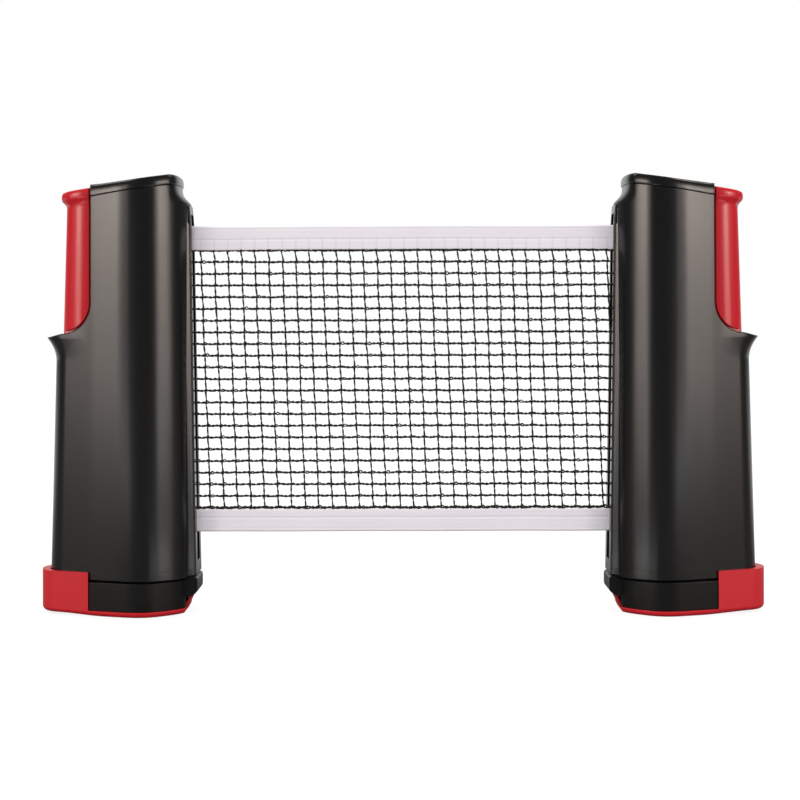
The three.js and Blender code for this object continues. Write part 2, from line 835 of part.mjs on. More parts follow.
// Plan of a ribbon: tangent to the left roll, folded in the slot, straight across, and the same at the right.
function ribbonPlan(thickness) {
  const axis = drumSpacing / 2;
  const clear = rollRadius + seatGap + thickness / 2;
  const reach = Math.sqrt(bendX * bendX - clear * clear);
  const lean = Math.asin(clear / bendX);
  const right = [axis - bendX + reach * Math.cos(lean), -reach * Math.sin(lean)];
  const path = [[-right[0], -right[1]], [-(axis - bendX), 0], [axis - bendX, 0], right];
  const normals = path.slice(1).map((point, i) => {
    const along = new THREE.Vector2(point[0] - path[i][0], point[1] - path[i][1]).normalize();
    return new THREE.Vector2(-along.y, along.x);
  });
  const offset = path.map((point, i) => {
    const before = normals[Math.max(i - 1, 0)];
    const after = normals[Math.min(i, normals.length - 1)];
    const middle = before.clone().add(after).normalize();
    return middle.multiplyScalar(thickness / 2 / middle.dot(after));
  });
  const far = path.map((point, i) => [point[0] + offset[i].x, point[1] + offset[i].y]);
  const near = path.map((point, i) => [point[0] - offset[i].x, point[1] - offset[i].y]);
  return polygon([...near, ...far.reverse()]);
}

function netTape(z0) {
  return upright(ribbonPlan(tapeThickness), [z0, z0 + tapeHeight]);
}

function netMesh() {
  const z0 = netBottom + tapeHeight + seatGap;
  const z1 = netTop - tapeHeight - seatGap;
  const half = drumSpacing / 2 - bendX;
  const depth = [-netThickness / 2, netThickness / 2];
  const pitchX = (2 * half - strandWidth) / netColumns;
  const pitchZ = (z1 - z0 - strandWidth) / netRows;
  let grid = box([-half, -half + strandWidth], depth, [z0, z1]);
  for (let column = 1; column <= netColumns; column++) {
    const x = -half + column * pitchX;
    grid = grid.add(box([x, x + strandWidth], depth, [z0, z1]));
  }
  for (let row = 0; row <= netRows; row++) {
    const z = z0 + row * pitchZ;
    grid = grid.add(box([-half, half], depth, [z, z + strandWidth]));
  }
  const leads = upright(ribbonPlan(netThickness), [z0, z1])
    .subtract(box([-half + strandWidth / 2, half - strandWidth / 2], [-farOut, farOut], [0, farUp]));
  return grid.add(leads);
}

// ---- assembly ------------------------------------------------------------------------------

const black = { color: 0x1f1e1e, roughness: 0.42, metalness: 0 };
const rubber = { color: 0x242424, roughness: 0.85, metalness: 0 };
const red = { color: 0xc22c38, roughness: 0.4, metalness: 0 };
const steel = { color: 0x9a9b9d, roughness: 0.35, metalness: 1 };
const acetal = { color: 0xdcdad4, roughness: 0.5, metalness: 0 };
const cord = { color: 0x161616, roughness: 0.9, metalness: 0 };
const cloth = { color: 0xe6e1e6, roughness: 0.95, metalness: 0 };

function meshOf(name, solid, finish) {
  const result = solid.getMesh();
  const geometry = new THREE.BufferGeometry();
  geometry.setAttribute('position', new THREE.BufferAttribute(new Float32Array(result.vertProperties), 3));
  geometry.setIndex(new THREE.BufferAttribute(new Uint32Array(result.triVerts), 1));
  const mesh = new THREE.Mesh(geometry, new THREE.MeshStandardMaterial(finish));
  mesh.name = name;
  return mesh;
}

const postPieces = [
  ['housing', housing(), black],
  ['top_cap', topCap(), black],
  ['base_plate', basePlate(), black],
  ['base_pad', basePad(), rubber],
  ['base_screw_1', screw(...bossPlaces()[0], baseScrewSeat(), baseScrewLength), steel],
  ['base_screw_2', screw(...bossPlaces()[1], baseScrewSeat(), baseScrewLength), steel],
  ['reel_arbor', reelArbor(), steel],
  ['upper_bush', upperBush(), acetal],
  ['guide_rod', guideRod(), steel],
  ['reel_tube', reelTube(), acetal],
  ['reel_bottom_plug', reelBottomPlug(), acetal],
  ['reel_top_plug', reelTopPlug(), acetal],
  ['reel_spring', reelSpring(), steel],
  ['net_key', netKey(), acetal],
  ['net_roll', netRoll(), cord],
  ['clamp_handle', clampHandle(), red],
  ['clamp_jaw', clampJaw(), red],
  ['jaw_pad', jawPad(), rubber],
  ['jaw_screw_1', screw(jawScrewX, -jawScrewY, jawScrewSeat(), jawScrewLength), steel],
  ['jaw_screw_2', screw(jawScrewX, jawScrewY, jawScrewSeat(), jawScrewLength), steel],
  ['clamp_spring', clampSpring(), steel],
];

function post(side, x, turn) {
  const group = new THREE.Group();
  group.position.x = x;
  group.rotation.z = turn;
  for (const [name, solid, finish] of postPieces) group.add(meshOf(`${side}_${name}`, solid, finish));
  return group;
}

const netClamp = new THREE.Group();
netClamp.add(post('left', -drumSpacing / 2, 0));
netClamp.add(post('right', drumSpacing / 2, Math.PI));
netClamp.add(meshOf('net_mesh', netMesh(), cord));
netClamp.add(meshOf('net_top_tape', netTape(netTop - tapeHeight), cloth));
netClamp.add(meshOf('net_bottom_tape', netTape(netBottom), cloth));

export default netClamp;
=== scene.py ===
import math
import random

import bmesh
import bpy
from mathutils import Matrix, Vector
from mathutils.bvhtree import BVHTree


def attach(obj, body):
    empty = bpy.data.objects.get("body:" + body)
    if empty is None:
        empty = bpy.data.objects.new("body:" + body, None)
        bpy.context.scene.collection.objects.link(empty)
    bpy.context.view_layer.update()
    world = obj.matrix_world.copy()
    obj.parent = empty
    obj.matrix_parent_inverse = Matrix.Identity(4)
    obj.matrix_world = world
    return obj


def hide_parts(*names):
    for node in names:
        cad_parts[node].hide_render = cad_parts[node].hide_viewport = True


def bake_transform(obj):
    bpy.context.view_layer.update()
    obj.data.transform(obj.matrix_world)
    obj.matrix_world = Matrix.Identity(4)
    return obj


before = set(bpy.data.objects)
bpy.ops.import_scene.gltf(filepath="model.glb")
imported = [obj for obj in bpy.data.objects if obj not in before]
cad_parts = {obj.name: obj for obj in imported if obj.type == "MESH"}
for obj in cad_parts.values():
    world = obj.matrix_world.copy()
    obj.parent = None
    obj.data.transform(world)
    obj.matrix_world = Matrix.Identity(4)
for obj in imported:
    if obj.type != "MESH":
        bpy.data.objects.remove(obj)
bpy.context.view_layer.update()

MM = 0.001

# ---- Black shell finish --------------
# The housings, caps and base plates are moulded in black ABS with a satin polish: a smooth,
# faintly orange-peeled skin that takes a soft highlight.


def principled(name, colour, roughness, **sockets):
    material = bpy.data.materials.new(name)
    material.use_nodes = True
    shader = material.node_tree.nodes["Principled BSDF"]
    shader.inputs["Base Color"].default_value = (*colour, 1)
    shader.inputs["Roughness"].default_value = roughness
    for socket, value in sockets.items():
        shader.inputs[socket.replace("_", " ")].default_value = value
    return material, shader


def noise_at(material, scale, detail=3.0, stretch=(1, 1, 1)):
    nodes, links = material.node_tree.nodes, material.node_tree.links
    place = nodes.new("ShaderNodeTexCoord")
    mapping = nodes.new("ShaderNodeMapping")
    mapping.inputs["Scale"].default_value = stretch
    noise = nodes.new("ShaderNodeTexNoise")
    noise.inputs["Scale"].default_value = scale
    noise.inputs["Detail"].default_value = detail
    links.new(place.outputs["Object"], mapping.inputs["Vector"])
    links.new(mapping.outputs["Vector"], noise.inputs["Vector"])
    return noise.outputs["Fac"]


def ranged(tree, value, low, high, to_low=0.0, to_high=1.0, way="LINEAR"):
    """Maps the value from one range to another and keeps it within."""
    node = tree.nodes.new("ShaderNodeMapRange")
    node.interpolation_type = way
    tree.links.new(value, node.inputs["Value"])
    for socket, number in (("From Min", low), ("From Max", high), ("To Min", to_low), ("To Max", to_high)):
        node.inputs[socket].default_value = number
    return node.outputs["Result"]


NOISE_LOW, NOISE_HIGH = 0.3, 0.7  # the range that a noise texture mostly fills


def spread(material, shader, source, low, high):
    """Lets the roughness wander between two values."""
    tree = material.node_tree
    rough = ranged(tree, source, NOISE_LOW, NOISE_HIGH, low, high)
    tree.links.new(rough, shader.inputs["Roughness"])


def tint(material, shader, source, dark, light):
    """Lets the colour wander between two tones."""
    nodes, links = material.node_tree.nodes, material.node_tree.links
    ramp = nodes.new("ShaderNodeValToRGB")
    ramp.color_ramp.elements[0].position = NOISE_LOW
    ramp.color_ramp.elements[0].color = (*dark, 1)
    ramp.color_ramp.elements[1].position = NOISE_HIGH
    ramp.color_ramp.elements[1].color = (*light, 1)
    links.new(source, ramp.inputs["Fac"])
    links.new(ramp.outputs["Color"], shader.inputs["Base Color"])


def raise_skin(material, shader, source, height, strength=1.0):
    nodes, links = material.node_tree.nodes, material.node_tree.links
    bump = nodes.new("ShaderNodeBump")
    bump.inputs["Distance"].default_value = height
    bump.inputs["Strength"].default_value = strength
    links.new(source, bump.inputs["Height"])
    links.new(bump.outputs["Normal"], shader.inputs["Normal"])


black_abs, shader = principled("black_abs", (0.0040, 0.0037, 0.0037), 0.24, Specular_IOR_Level=0.55)
spread(black_abs, shader, noise_at(black_abs, 38), 0.234, 0.246)
tint(black_abs, shader, noise_at(black_abs, 9), (0.0038, 0.0036, 0.0035), (0.0043, 0.0040, 0.0039))
raise_skin(black_abs, shader, noise_at(black_abs, 260, 2), 0.00003, 0.3)

# ---- Housings ------------------------
# Each housing is one thin-walled ABS moulding, teardrop in plan: a round barrel over the drum
# and a narrower heel over the slider, leaning in a little toward the top. It is moulded with the
# net slot and its frame, the handle cut-out, the flared finger lip and the neck under the cap.

AXIS = 120.6  # from the middle of the net to each drum
WALL = 2.3
BARREL, HEEL, HEEL_REACH = 22, 11, 46.5
BARREL_DRAFT, HEEL_DRAFT = math.tan(math.radians(0.6)), math.tan(math.radians(1.5))
MID_BARREL = 20.5  # radius of the barrel about halfway up
FLAT_DEPTH, FLAT_AT, FLAT_SPREAD = 1.0, 31.5, 20  # a flatter stripe of the barrel, in mm and degrees
SWELL, SWELL_FROM, SWELL_RUN, SWELL_END, SWELL_FADE = 0.6, 2.5, 10, 38, 14  # of the flanks, along -X
BASE_BOTTOM = 16.6
BASE_TOP = 20.74
SHELL_BOTTOM = 20.8
CAP_AT_AXIS = 203.6
CAP_SLOPE = math.tan(math.radians(7.9))
CAP_THICKNESS = 4.8
CAP_PEAK, CAP_DIP = 205.6, 0.15
CAP_HEEL_RISE, CAP_NET_RISE = 0.00135, 0.0035  # toward the two ends, per square of the distance
LIP_HEIGHT, LIP_FLARE, LIP_BLEND, LIP_FROM = 129.2, 4.6, 11, 24
CUT_EDGE, CUT_ROUND, CUT_FLOOR = 25.3, 14.5, LIP_HEIGHT + 2
CUT_FALL, CUT_RUN = 2.6, 11.3  # slope of the cut-out over the finger lip
NECK_SIDE, NECK_SPAN, NECK_BOTTOM, NECK_TOP = 11.5, 4.6, 192.3, 200.1
NECK_START, NECK_SHOULDER = 1.3, 2.4  # how softly the neck begins and ends
FRAME_HALF, FRAME_TAPER, FRAME_FLANK, FRAME_DEPTH = 9.6, 0.02, 1.2, 3.0
FRAME_FACE, FRAME_SLOPE, FRAME_SHOULDER, FRAME_TOP, FRAME_CORNER = 23.45, 0.0152, 181, 191.5, 0.8
SLOT_HALF, SLOT_BOTTOM, SLOT_TOP = 4, 24, 187.5
PARTITION_X, PARTITION_Z = (-20.9, -19.1), (23, 188)
SHELF_X, SHELF_Z = (-30, -20), (42, 45)
FAR, HIGH = 80, 260  # past every outline of a post, and above it


def barrel_flat(x):
    """The barrel is drawn in a little where it faces half toward the net."""
    angle = math.degrees(math.asin(min(max(x / MID_BARREL, -1), 1)))
    return FLAT_DEPTH * math.exp(-((angle - FLAT_AT) / FLAT_SPREAD) ** 2)


def barrel_swell(x):
    """The flanks swell a little where they leave the barrel."""
    share = min(max((-x - SWELL_FROM) / SWELL_RUN, 0), 1)
    fade = min(max((x + SWELL_END) / SWELL_FADE, 0), 1)
    return SWELL * share * share * (3 - 2 * share) * fade - barrel_flat(x)


def teardrop(centre, large, small, reach, swell):
    """A large and a small circle with their tangents, counter-clockwise from above."""
    small_centre = small - reach
    lean = math.asin((large - small) / (centre - small_centre))
    half = math.pi / 2 + lean
    points = []
    for i in range(73):
        angle = -half + 2 * half * i / 72
        out = large + swell(centre + large * math.cos(angle))
        points.append((centre + out * math.cos(angle), out * math.sin(angle)))
    heel = []
    for i in range(29):
        angle = half + (2 * math.pi - 2 * half) * i / 28
        out = small + swell(small_centre + small * math.cos(angle))
        heel.append((small_centre + out * math.cos(angle), out * math.sin(angle)))
    run = (centre - small_centre) * math.cos(lean)
    flank = []
    for i in range(1, 16):
        along = run * i / 16
        x = centre + large * math.cos(half) - along * math.cos(lean)
        y = large * math.sin(half) - along * math.sin(lean)
        out = swell(x)
        flank.append((x + out * math.cos(half), y + out * math.sin(half)))
    return points + flank + heel + [(x, -y) for x, y in reversed(flank)]


def housing_outline(z, inset, push=0.0, swell=barrel_swell):
    rise = z - BASE_BOTTOM
    draft = rise * BARREL_DRAFT
    reach = HEEL_REACH - rise * HEEL_DRAFT - inset
    points = teardrop(0, BARREL - draft - inset, HEEL - draft - inset, reach, swell)
    # only the end of the heel flares out into the finger lip
    return [(x - push * max((-x - LIP_FROM) / (reach - LIP_FROM), 0) ** 2, y) for x, y in points]


def at(points, z):
    return [(x, y, z) for x, y in points]


def necked(point, z, inset):
    """Draws the net side in toward the neck, a hollow sweep with a soft shoulder below it."""
    x, y = point
    past = x + inset - NECK_SIDE
    if past <= 0:
        return x, y
    rise = min(max((z - NECK_BOTTOM) / (NECK_TOP - NECK_BOTTOM), 0), 1)
    share = 1 - (1 - rise ** NECK_START) ** NECK_SHOULDER
    return x - (past - NECK_SPAN * (1 - math.exp(-past / NECK_SPAN))) * share, y


def necked_ring(z, inset):
    return [(*necked(point, z, inset), z) for point in housing_outline(z, inset)]


def cap_top(x):
    return CAP_AT_AXIS + x * CAP_SLOPE


def cap_rise(x):
    """The ends of the top stand a little higher than its slant."""
    rise = (CAP_HEEL_RISE if x < 0 else CAP_NET_RISE) * x * x - CAP_DIP
    return min(rise, CAP_PEAK - cap_top(x))


def slanted(inset, drop):
    points = []
    for point in housing_outline(CAP_AT_AXIS - drop, inset):
        x, y = necked(point, cap_top(point[0]) - drop, inset)
        upper = max(1 - drop / CAP_THICKNESS, 0)
        points.append((x, y, cap_top(x) - drop + cap_rise(x) * upper))
    return points


def placed(name, data):
    """A new object in the scene, from a mesh, a lamp or a camera."""
    thing = bpy.data.objects.new(name, data)
    bpy.context.scene.collection.objects.link(thing)
    return thing


def shaped(name, points, faces):
    mesh = bpy.data.meshes.new(name)
    mesh.from_pydata(points, [], faces)
    return placed(name, mesh)


def solid(name, rings):
    """A closed body through rings of equal count, given in millimetres."""
    count = len(rings[0])
    points = [Vector(p) * MM for ring in rings for p in ring]
    faces = [tuple(reversed(range(count)))]
    for level in range(len(rings) - 1):
        for i in range(count):
            a, b = level * count + i, level * count + (i + 1) % count
            faces.append((a, b, b + count, a + count))
    faces.append(tuple(range((len(rings) - 1) * count, len(rings) * count)))
    return shaped(name, points, faces)


def column(name, low, high, inset):
    """A body with the outline of the housing, drawn in by inset, between two heights."""
    return solid(name, [at(housing_outline(z, inset), z) for z in (low, high)])


def block(name, x, y, z):
    ring = [(x[0], y[0]), (x[1], y[0]), (x[1], y[1]), (x[0], y[1])]
    return solid(name, [at(ring, z[0]), at(ring, z[1])])


def face_outward(piece):
    work = bmesh.new()
    work.from_mesh(piece.data)
    bmesh.ops.recalc_face_normals(work, faces=work.faces)
    work.to_mesh(piece.data)
    work.free()


def across(name, outline, half_width):
    """An outline drawn in X and Z, pushed through to both sides."""
    piece = solid(name, [[(x, y, z) for x, z in outline] for y in (-half_width, half_width)])
    face_outward(piece)
    return piece


def settle(piece):
    """Bakes the piece's modifiers into its mesh."""
    bpy.context.view_layer.update()
    shown = piece.evaluated_get(bpy.context.evaluated_depsgraph_get())
    mesh = bpy.data.meshes.new_from_object(shown)
    piece.modifiers.clear()
    piece.data = mesh


def carve(piece, tool, way="DIFFERENCE"):
    cut = piece.modifiers.new("cut", "BOOLEAN")
    cut.operation = way
    cut.solver = "EXACT"
    cut.object = tool
    settle(piece)
    bpy.data.objects.remove(tool)


def trim(piece, x, z=(0, HIGH)):
    """Takes off all that lies between two places in X and two heights."""
    carve(piece, block("trim", x, (-FAR, FAR), z))


def smooth(piece, angle=32):
    """Shades the skin smooth between its edges."""
    work = bmesh.new()
    work.from_mesh(piece.data)
    for face in work.faces:
        face.smooth = True
    for edge in work.edges:
        if len(edge.link_faces) == 2:
            edge.smooth = edge.calc_face_angle(0) < math.radians(angle)
    work.to_mesh(piece.data)
    work.free()


MERGE = 0.00002  # metres


def dress_edges(piece, width, angle=32, share=None):
    """Cleans the skin, rounds its edges by a share of width and shades it smooth between them."""
    work = bmesh.new()
    work.from_mesh(piece.data)
    bmesh.ops.remove_doubles(work, verts=work.verts, dist=MERGE)
    bmesh.ops.dissolve_limit(
        work, angle_limit=math.radians(0.4), verts=work.verts, edges=work.edges,
        use_dissolve_boundaries=False)
    bmesh.ops.dissolve_degenerate(work, dist=MERGE, edges=work.edges)
    bmesh.ops.recalc_face_normals(work, faces=work.faces)
    work.normal_update()
    weight = work.edges.layers.float.new("bevel_weight_edge")
    for edge in work.edges:
        if len(edge.link_faces) == 2 and edge.calc_face_angle(0) > math.radians(angle):
            middle = (edge.verts[0].co + edge.verts[1].co) / 2 / MM
            edge[weight] = share(middle) if share else 1
    work.to_mesh(piece.data)
    work.free()
    rounding = piece.modifiers.new("rounding", "BEVEL")
    rounding.width = width * MM
    rounding.segments = 2
    rounding.limit_method = "WEIGHT"
    rounding.miter_outer = "MITER_ARC"
    settle(piece)
    smooth(piece, angle)


def join(piece, others):
    work = bmesh.new()
    for part in [piece, *others]:
        work.from_mesh(part.data)
    work.to_mesh(piece.data)
    work.free()
    for part in others:
        bpy.data.objects.remove(part)


def cut_corner():
    """The round corner of the cut-out: its points, each with the way from the handle to the shell."""
    round_x, round_z = -CUT_EDGE - CUT_ROUND, CUT_FLOOR + CUT_ROUND
    corner = []
    for i in range(25):
        angle = -math.pi / 2 * i / 24
        out_x, out_z = math.cos(angle), math.sin(angle)
        corner.append((round_x + CUT_ROUND * out_x, round_z + CUT_ROUND * out_z, out_x, out_z))
    return corner


def cut_tool():
    points = [(-CUT_EDGE, HIGH), *[(x, z) for x, z, _, _ in cut_corner()]]
    points += [(-HEEL_REACH - LIP_FLARE, LIP_HEIGHT - 0.6), (-FAR, LIP_HEIGHT - 3), (-FAR, HIGH)]
    return across("cut_out", points, FAR)


def edge_tools(outer, profile):
    """A tool for each flank along the cut-out; its profile is set from the edge and the skin."""
    skin = BVHTree.FromPolygons(
        [v.co / MM for v in outer.data.vertices], [tuple(p.vertices) for p in outer.data.polygons])
    corner_end = -CUT_EDGE - CUT_ROUND
    path = [(-CUT_EDGE, z, 1, 0) for z in (209, 195, 180, 165, 152)]
    path += cut_corner()
    over_lip = (-41.5, -43, -44.5, -46)
    path += [(x, CUT_FLOOR - CUT_FALL * (corner_end - x) / CUT_RUN, -0.2, -0.97) for x in over_lip]
    tools = []
    for side in (-1, 1):
        sections = []
        for x, z, out_x, out_z in path:
            section = []
            for offset, proud in profile:
                px, pz = x + out_x * offset, z + out_z * offset
                hit = skin.ray_cast(Vector((px, side * FAR, pz)), Vector((0, -side, 0)))[0]
                section.append((px, (hit.y if hit else 0) + side * proud, pz))
            sections.append(section)
        tool = solid("rim", sections)
        face_outward(tool)
        tools.append(tool)
    return tools


def frame_face(z):
    leaning = FRAME_FACE - (min(z, FRAME_SHOULDER) - BASE_BOTTOM) * FRAME_SLOPE
    flush = BARREL - (FRAME_TOP - BASE_BOTTOM) * BARREL_DRAFT
    share = max((z - FRAME_SHOULDER) / (FRAME_TOP - FRAME_SHOULDER), 0)
    return leaning + (flush - leaning) * share ** 1.5


def frame_ring(z):
    face, half, corner = frame_face(z), FRAME_HALF - (z - BASE_BOTTOM) * FRAME_TAPER, FRAME_CORNER
    side = [(0, half + FRAME_FLANK), (face - FRAME_DEPTH, half + FRAME_FLANK), (face - corner * 1.2, half)]
    for i in range(1, 6):
        angle = math.pi / 2 * (1 - i / 6)
        side.append((face - corner + corner * math.cos(angle), half - corner + corner * math.sin(angle)))
    side.append((face, half - corner))
    return at([(x, -y) for x, y in side] + side[::-1], z)


# the right post is the left one turned half round
stand_left = Matrix.Translation((-AXIS * MM, 0, 0))
POSTS = (("left", stand_left), ("right", Matrix.Rotation(math.pi, 4, "Z") @ stand_left))


def both_posts(piece, node, body, material):
    """Stands one copy in each post and fixes it to its body."""
    piece.data.materials.clear()
    piece.data.materials.append(material)
    for side, stand in POSTS:
        copy = placed(f"{side}_{piece.name}", piece.data.copy())
        weighted = copy.modifiers.new("weighted", "WEIGHTED_NORMAL")
        weighted.keep_sharp = True
        copy.data.transform(stand)
        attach(copy, f"{side}_{body}")
        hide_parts(f"{side}_{node}")
    bpy.data.objects.remove(piece)


rings = [at(housing_outline(SHELL_BOTTOM, 0), SHELL_BOTTOM)]
for i in range(15):
    share = i / 14
    z = LIP_HEIGHT - LIP_BLEND + share * LIP_BLEND
    rings.append(at(housing_outline(z, 0, LIP_FLARE * share ** 2), z))
rings.append(at(housing_outline(CUT_FLOOR, 0, LIP_FLARE), CUT_FLOOR))
rings.append(at(housing_outline(CUT_FLOOR + CUT_ROUND, 0), CUT_FLOOR + CUT_ROUND))
neck_heights = [NECK_BOTTOM + (NECK_TOP - NECK_BOTTOM) * i / 14 for i in range(15)]
rings += [necked_ring(z, 0) for z in [*neck_heights, CAP_AT_AXIS + 10]]
shell = solid("shell", rings)
# corners as (from the edge toward the shell, out from the skin): the rim of the cut-out slants
# inward, and a groove in the handle runs beside it
rim_profile = ((0.65, 0.12), (-0.4, 1.2), (-0.4, -1.1))
groove_profile = ((0.4, 1), (-1.35, 1), (-1.35, -5.1), (0.4, -5.1))
shell_rims, cap_rims, grooves = (edge_tools(shell, p) for p in (rim_profile, rim_profile, groove_profile))
frame_heights = [SHELL_BOTTOM, *[FRAME_SHOULDER + (FRAME_TOP - FRAME_SHOULDER) * i / 8 for i in range(9)]]
carve(shell, solid("slot_frame", [frame_ring(z) for z in frame_heights]), "UNION")
carve(shell, solid("hollow", [
    necked_ring(z, WALL) for z in [SHELL_BOTTOM - 2, *neck_heights[::2], CAP_AT_AXIS + 12]]))
carve(shell, block("slot", (BARREL / 2, FAR), (-SLOT_HALF, SLOT_HALF), (SLOT_BOTTOM, SLOT_TOP)))
carve(shell, cut_tool())
for rim in shell_rims:
    carve(shell, rim)
seam = CAP_THICKNESS + CAP_DIP
carve(shell, across("lid_plane", [
    (-FAR, cap_top(-FAR) - seam), (FAR, cap_top(FAR) - seam), (FAR, HIGH), (-FAR, HIGH)], FAR))


def shell_edge(middle):
    """The bottom edge stays sharp."""
    return 0 if middle.z < SHELL_BOTTOM + 0.1 else 1


dress_edges(shell, 0.22, 31, shell_edge)


def inner_wall(name, x, z):
    """A wall across the inside of the housing, ending within its skin."""
    wall = block(name, x, (-BARREL, BARREL), z)
    carve(wall, column("skin", z[0] - 1, z[1] + 1, WALL / 2), "INTERSECT")
    return wall


join(shell, [
    inner_wall("partition", PARTITION_X, PARTITION_Z),
    inner_wall("spring_shelf", SHELF_X, SHELF_Z)])
both_posts(shell, "housing", "post", black_abs)

# ---- Top caps ------------------------
# The cap is a separate slanted lid of the same black ABS, pressed on over the drum. It stands
# just proud of the shell all round and has a softly rounded upper rim.

CAP_TOP_WALL = 2.2
# each ring as (inset from the shell, drop from the top), from the lower edge up
cap_profile = [
    (0.2, CAP_THICKNESS), (-0.25, CAP_THICKNESS - 0.12), (-0.45, CAP_THICKNESS - 0.45), (-0.44, 3.2),
    (-0.36, 2.2), (-0.22, 1.4), (-0.05, 0.85), (0.2, 0.42), (0.55, 0.13), (1.0, 0)]
cap = solid("cap", [slanted(inset, drop) for inset, drop in cap_profile])
carve(cap, solid("under", [slanted(WALL, CAP_THICKNESS + 1), slanted(WALL, CAP_TOP_WALL)]))
trim(cap, (-FAR, -CUT_EDGE))
for rim in cap_rims:
    carve(cap, rim)
dress_edges(cap, 0.2, 31)
both_posts(cap, "top_cap", "post", black_abs)

# ---- Base plates ---------------------
# The base plate closes the housing from below and is the fixed upper jaw. Only its edge shows,
# a thin black band under the seam of the shell; two screws hold it.

BASE_CHAMFER = 0.3
BASE_FRAME_BOTTOM = 17.9
SPIGOT_BOTTOM, SPIGOT_TOP, SPIGOT_INSET = 19.4, 22.4, 2.7
CHANNEL_EDGE = -30  # the handle channel passes beyond it
PAD_EDGE = -22.9
PAD_ROOM_TOP, PAD_ROOM_INSET = 17.6, 3

base = solid("base", [
    at(housing_outline(BASE_BOTTOM, BASE_CHAMFER), BASE_BOTTOM),
    at(housing_outline(BASE_BOTTOM, 0), BASE_BOTTOM + BASE_CHAMFER),
    at(housing_outline(BASE_TOP, 0), BASE_TOP),
])
carve(base, solid("base_frame", [frame_ring(BASE_FRAME_BOTTOM), frame_ring(BASE_TOP)]), "UNION")
carve(base, column("spigot", SPIGOT_BOTTOM, SPIGOT_TOP, SPIGOT_INSET), "UNION")
channel_room = column("channel_room", 15, 24, WALL)
trim(channel_room, (CHANNEL_EDGE, FAR))
carve(base, channel_room)
pad_room = column("pad_room", 15, PAD_ROOM_TOP, PAD_ROOM_INSET)
trim(pad_room, (-FAR, PAD_EDGE))
carve(base, pad_room)
dress_edges(base, 0.04)
both_posts(base, "base_plate", "post", black_abs)

# ---- Grip pads -----------------------
# Two black rubber pads grip the table: a thin one let into the base plate, and a thick block on
# the foot. The block's nose tab stands up in front of the base and leads the table edge in.

rubber, shader = principled("grip_rubber", (0.0042, 0.0042, 0.0042), 0.38, Specular_IOR_Level=0.3)
tint(rubber, shader, noise_at(rubber, 70), (0.0034, 0.0034, 0.0034), (0.0060, 0.0058, 0.0057))
spread(rubber, shader, noise_at(rubber, 120), 0.34, 0.43)
raise_skin(rubber, shader, noise_at(rubber, 900, 4), 0.00004, 0.35)

upper_pad = solid("upper_pad", [
    at(housing_outline(16.2, 3.6), 16.2),
    at(housing_outline(16.2, 3.3), 16.5),
    at(housing_outline(16.2, 3.3), 17.3)])
trim(upper_pad, (-FAR, PAD_EDGE + 0.3))
dress_edges(upper_pad, 0.15)
both_posts(upper_pad, "base_pad", "post", rubber)

PLATE = 2.5  # top of the foot's plate
FOOT_CENTRE, FOOT_BARREL, FOOT_HEEL, FOOT_REACH = -1.6, 22.53, 12.5, 50.5
PAD_BOTTOM, PAD_TOP, PAD_NOSE = 2.8, 15.7, 18.2
WRAP_EDGE, WRAP_TOP = 25.9, 20.3
BOW_TOP, BOW_HALF, BOW_WALL = 7.6, 5, 1.3
NOSE_LOW, NOSE_SLOPE = 17.6, 0.47
TAB_TOP, TAB_REACH, TAB_HALF, TAB_ROOT = 17, 24, 9.6, 4
TAB_LOW, TAB_LOW_ROUND, TAB_TOP_ROUND = 11.4, 3, 1.4
FIT = 0.4  # room between the foot or the handle and the housing


def foot_swell(x):
    return -barrel_flat(x)


def foot_outline(inset):
    return teardrop(FOOT_CENTRE, FOOT_BARREL - inset, FOOT_HEEL - inset, FOOT_REACH - inset, foot_swell)


def nose_tool(back):
    """Everything in front of the flat nose, which leans out like a bow."""
    low, high = NOSE_LOW - NOSE_SLOPE - back, NOSE_LOW + NOSE_SLOPE * FAR - back
    return across("nose", [(low, -1), (FAR, -1), (FAR, FAR), (high, FAR)], FAR)


def bow_room(thickness, grow):
    bow = block("bow", (0, FAR), (-BOW_HALF - grow, BOW_HALF + grow), (PLATE - 1, BOW_TOP + grow))
    carve(bow, nose_tool(thickness), "INTERSECT")
    return bow


lower_pad = solid("lower_pad", [
    at(foot_outline(0.6), PAD_BOTTOM),
    at(foot_outline(0.6), PAD_TOP - 0.3),
    at(foot_outline(0.85), PAD_TOP)])
trim(lower_pad, (-FAR, -WRAP_EDGE + 0.3))
trim(lower_pad, (PAD_NOSE, FAR))
carve(lower_pad, bow_room(BOW_WALL + 0.3, 0.3))
tab_bottom = BOW_TOP + 0.3
tab_outline = [(PAD_NOSE - TAB_ROOT, tab_bottom), (NOSE_LOW + NOSE_SLOPE * BOW_TOP, tab_bottom)]
tab_rounds = ((TAB_LOW, TAB_LOW_ROUND, -45, 0), (TAB_TOP - TAB_TOP_ROUND, TAB_TOP_ROUND, 0, 90))
for z, radius, start, end in tab_rounds:
    for i in range(7):
        angle = math.radians(start + (end - start) * (i / 6))
        tab_outline.append((TAB_REACH - radius + radius * math.cos(angle), z + radius * math.sin(angle)))
tab_outline.append((PAD_NOSE - TAB_ROOT, TAB_TOP))
tab = across("nose_tab", tab_outline, TAB_HALF)
carve(tab, solid("tab_room", [at(housing_outline(15, -FIT), PAD_TOP), at(housing_outline(22, -FIT), 22)]))
carve(lower_pad, tab, "UNION")
dress_edges(lower_pad, 0.25, 50)
both_posts(lower_pad, "jaw_pad", "clamp", rubber)

# ---- Feet ----------------------------
# The foot is the moving lower jaw, a red ABS moulding with a fine satin skin. Its high wrap
# closes round the heel of the housing, its thin plate carries the pad, and its nose turns up.

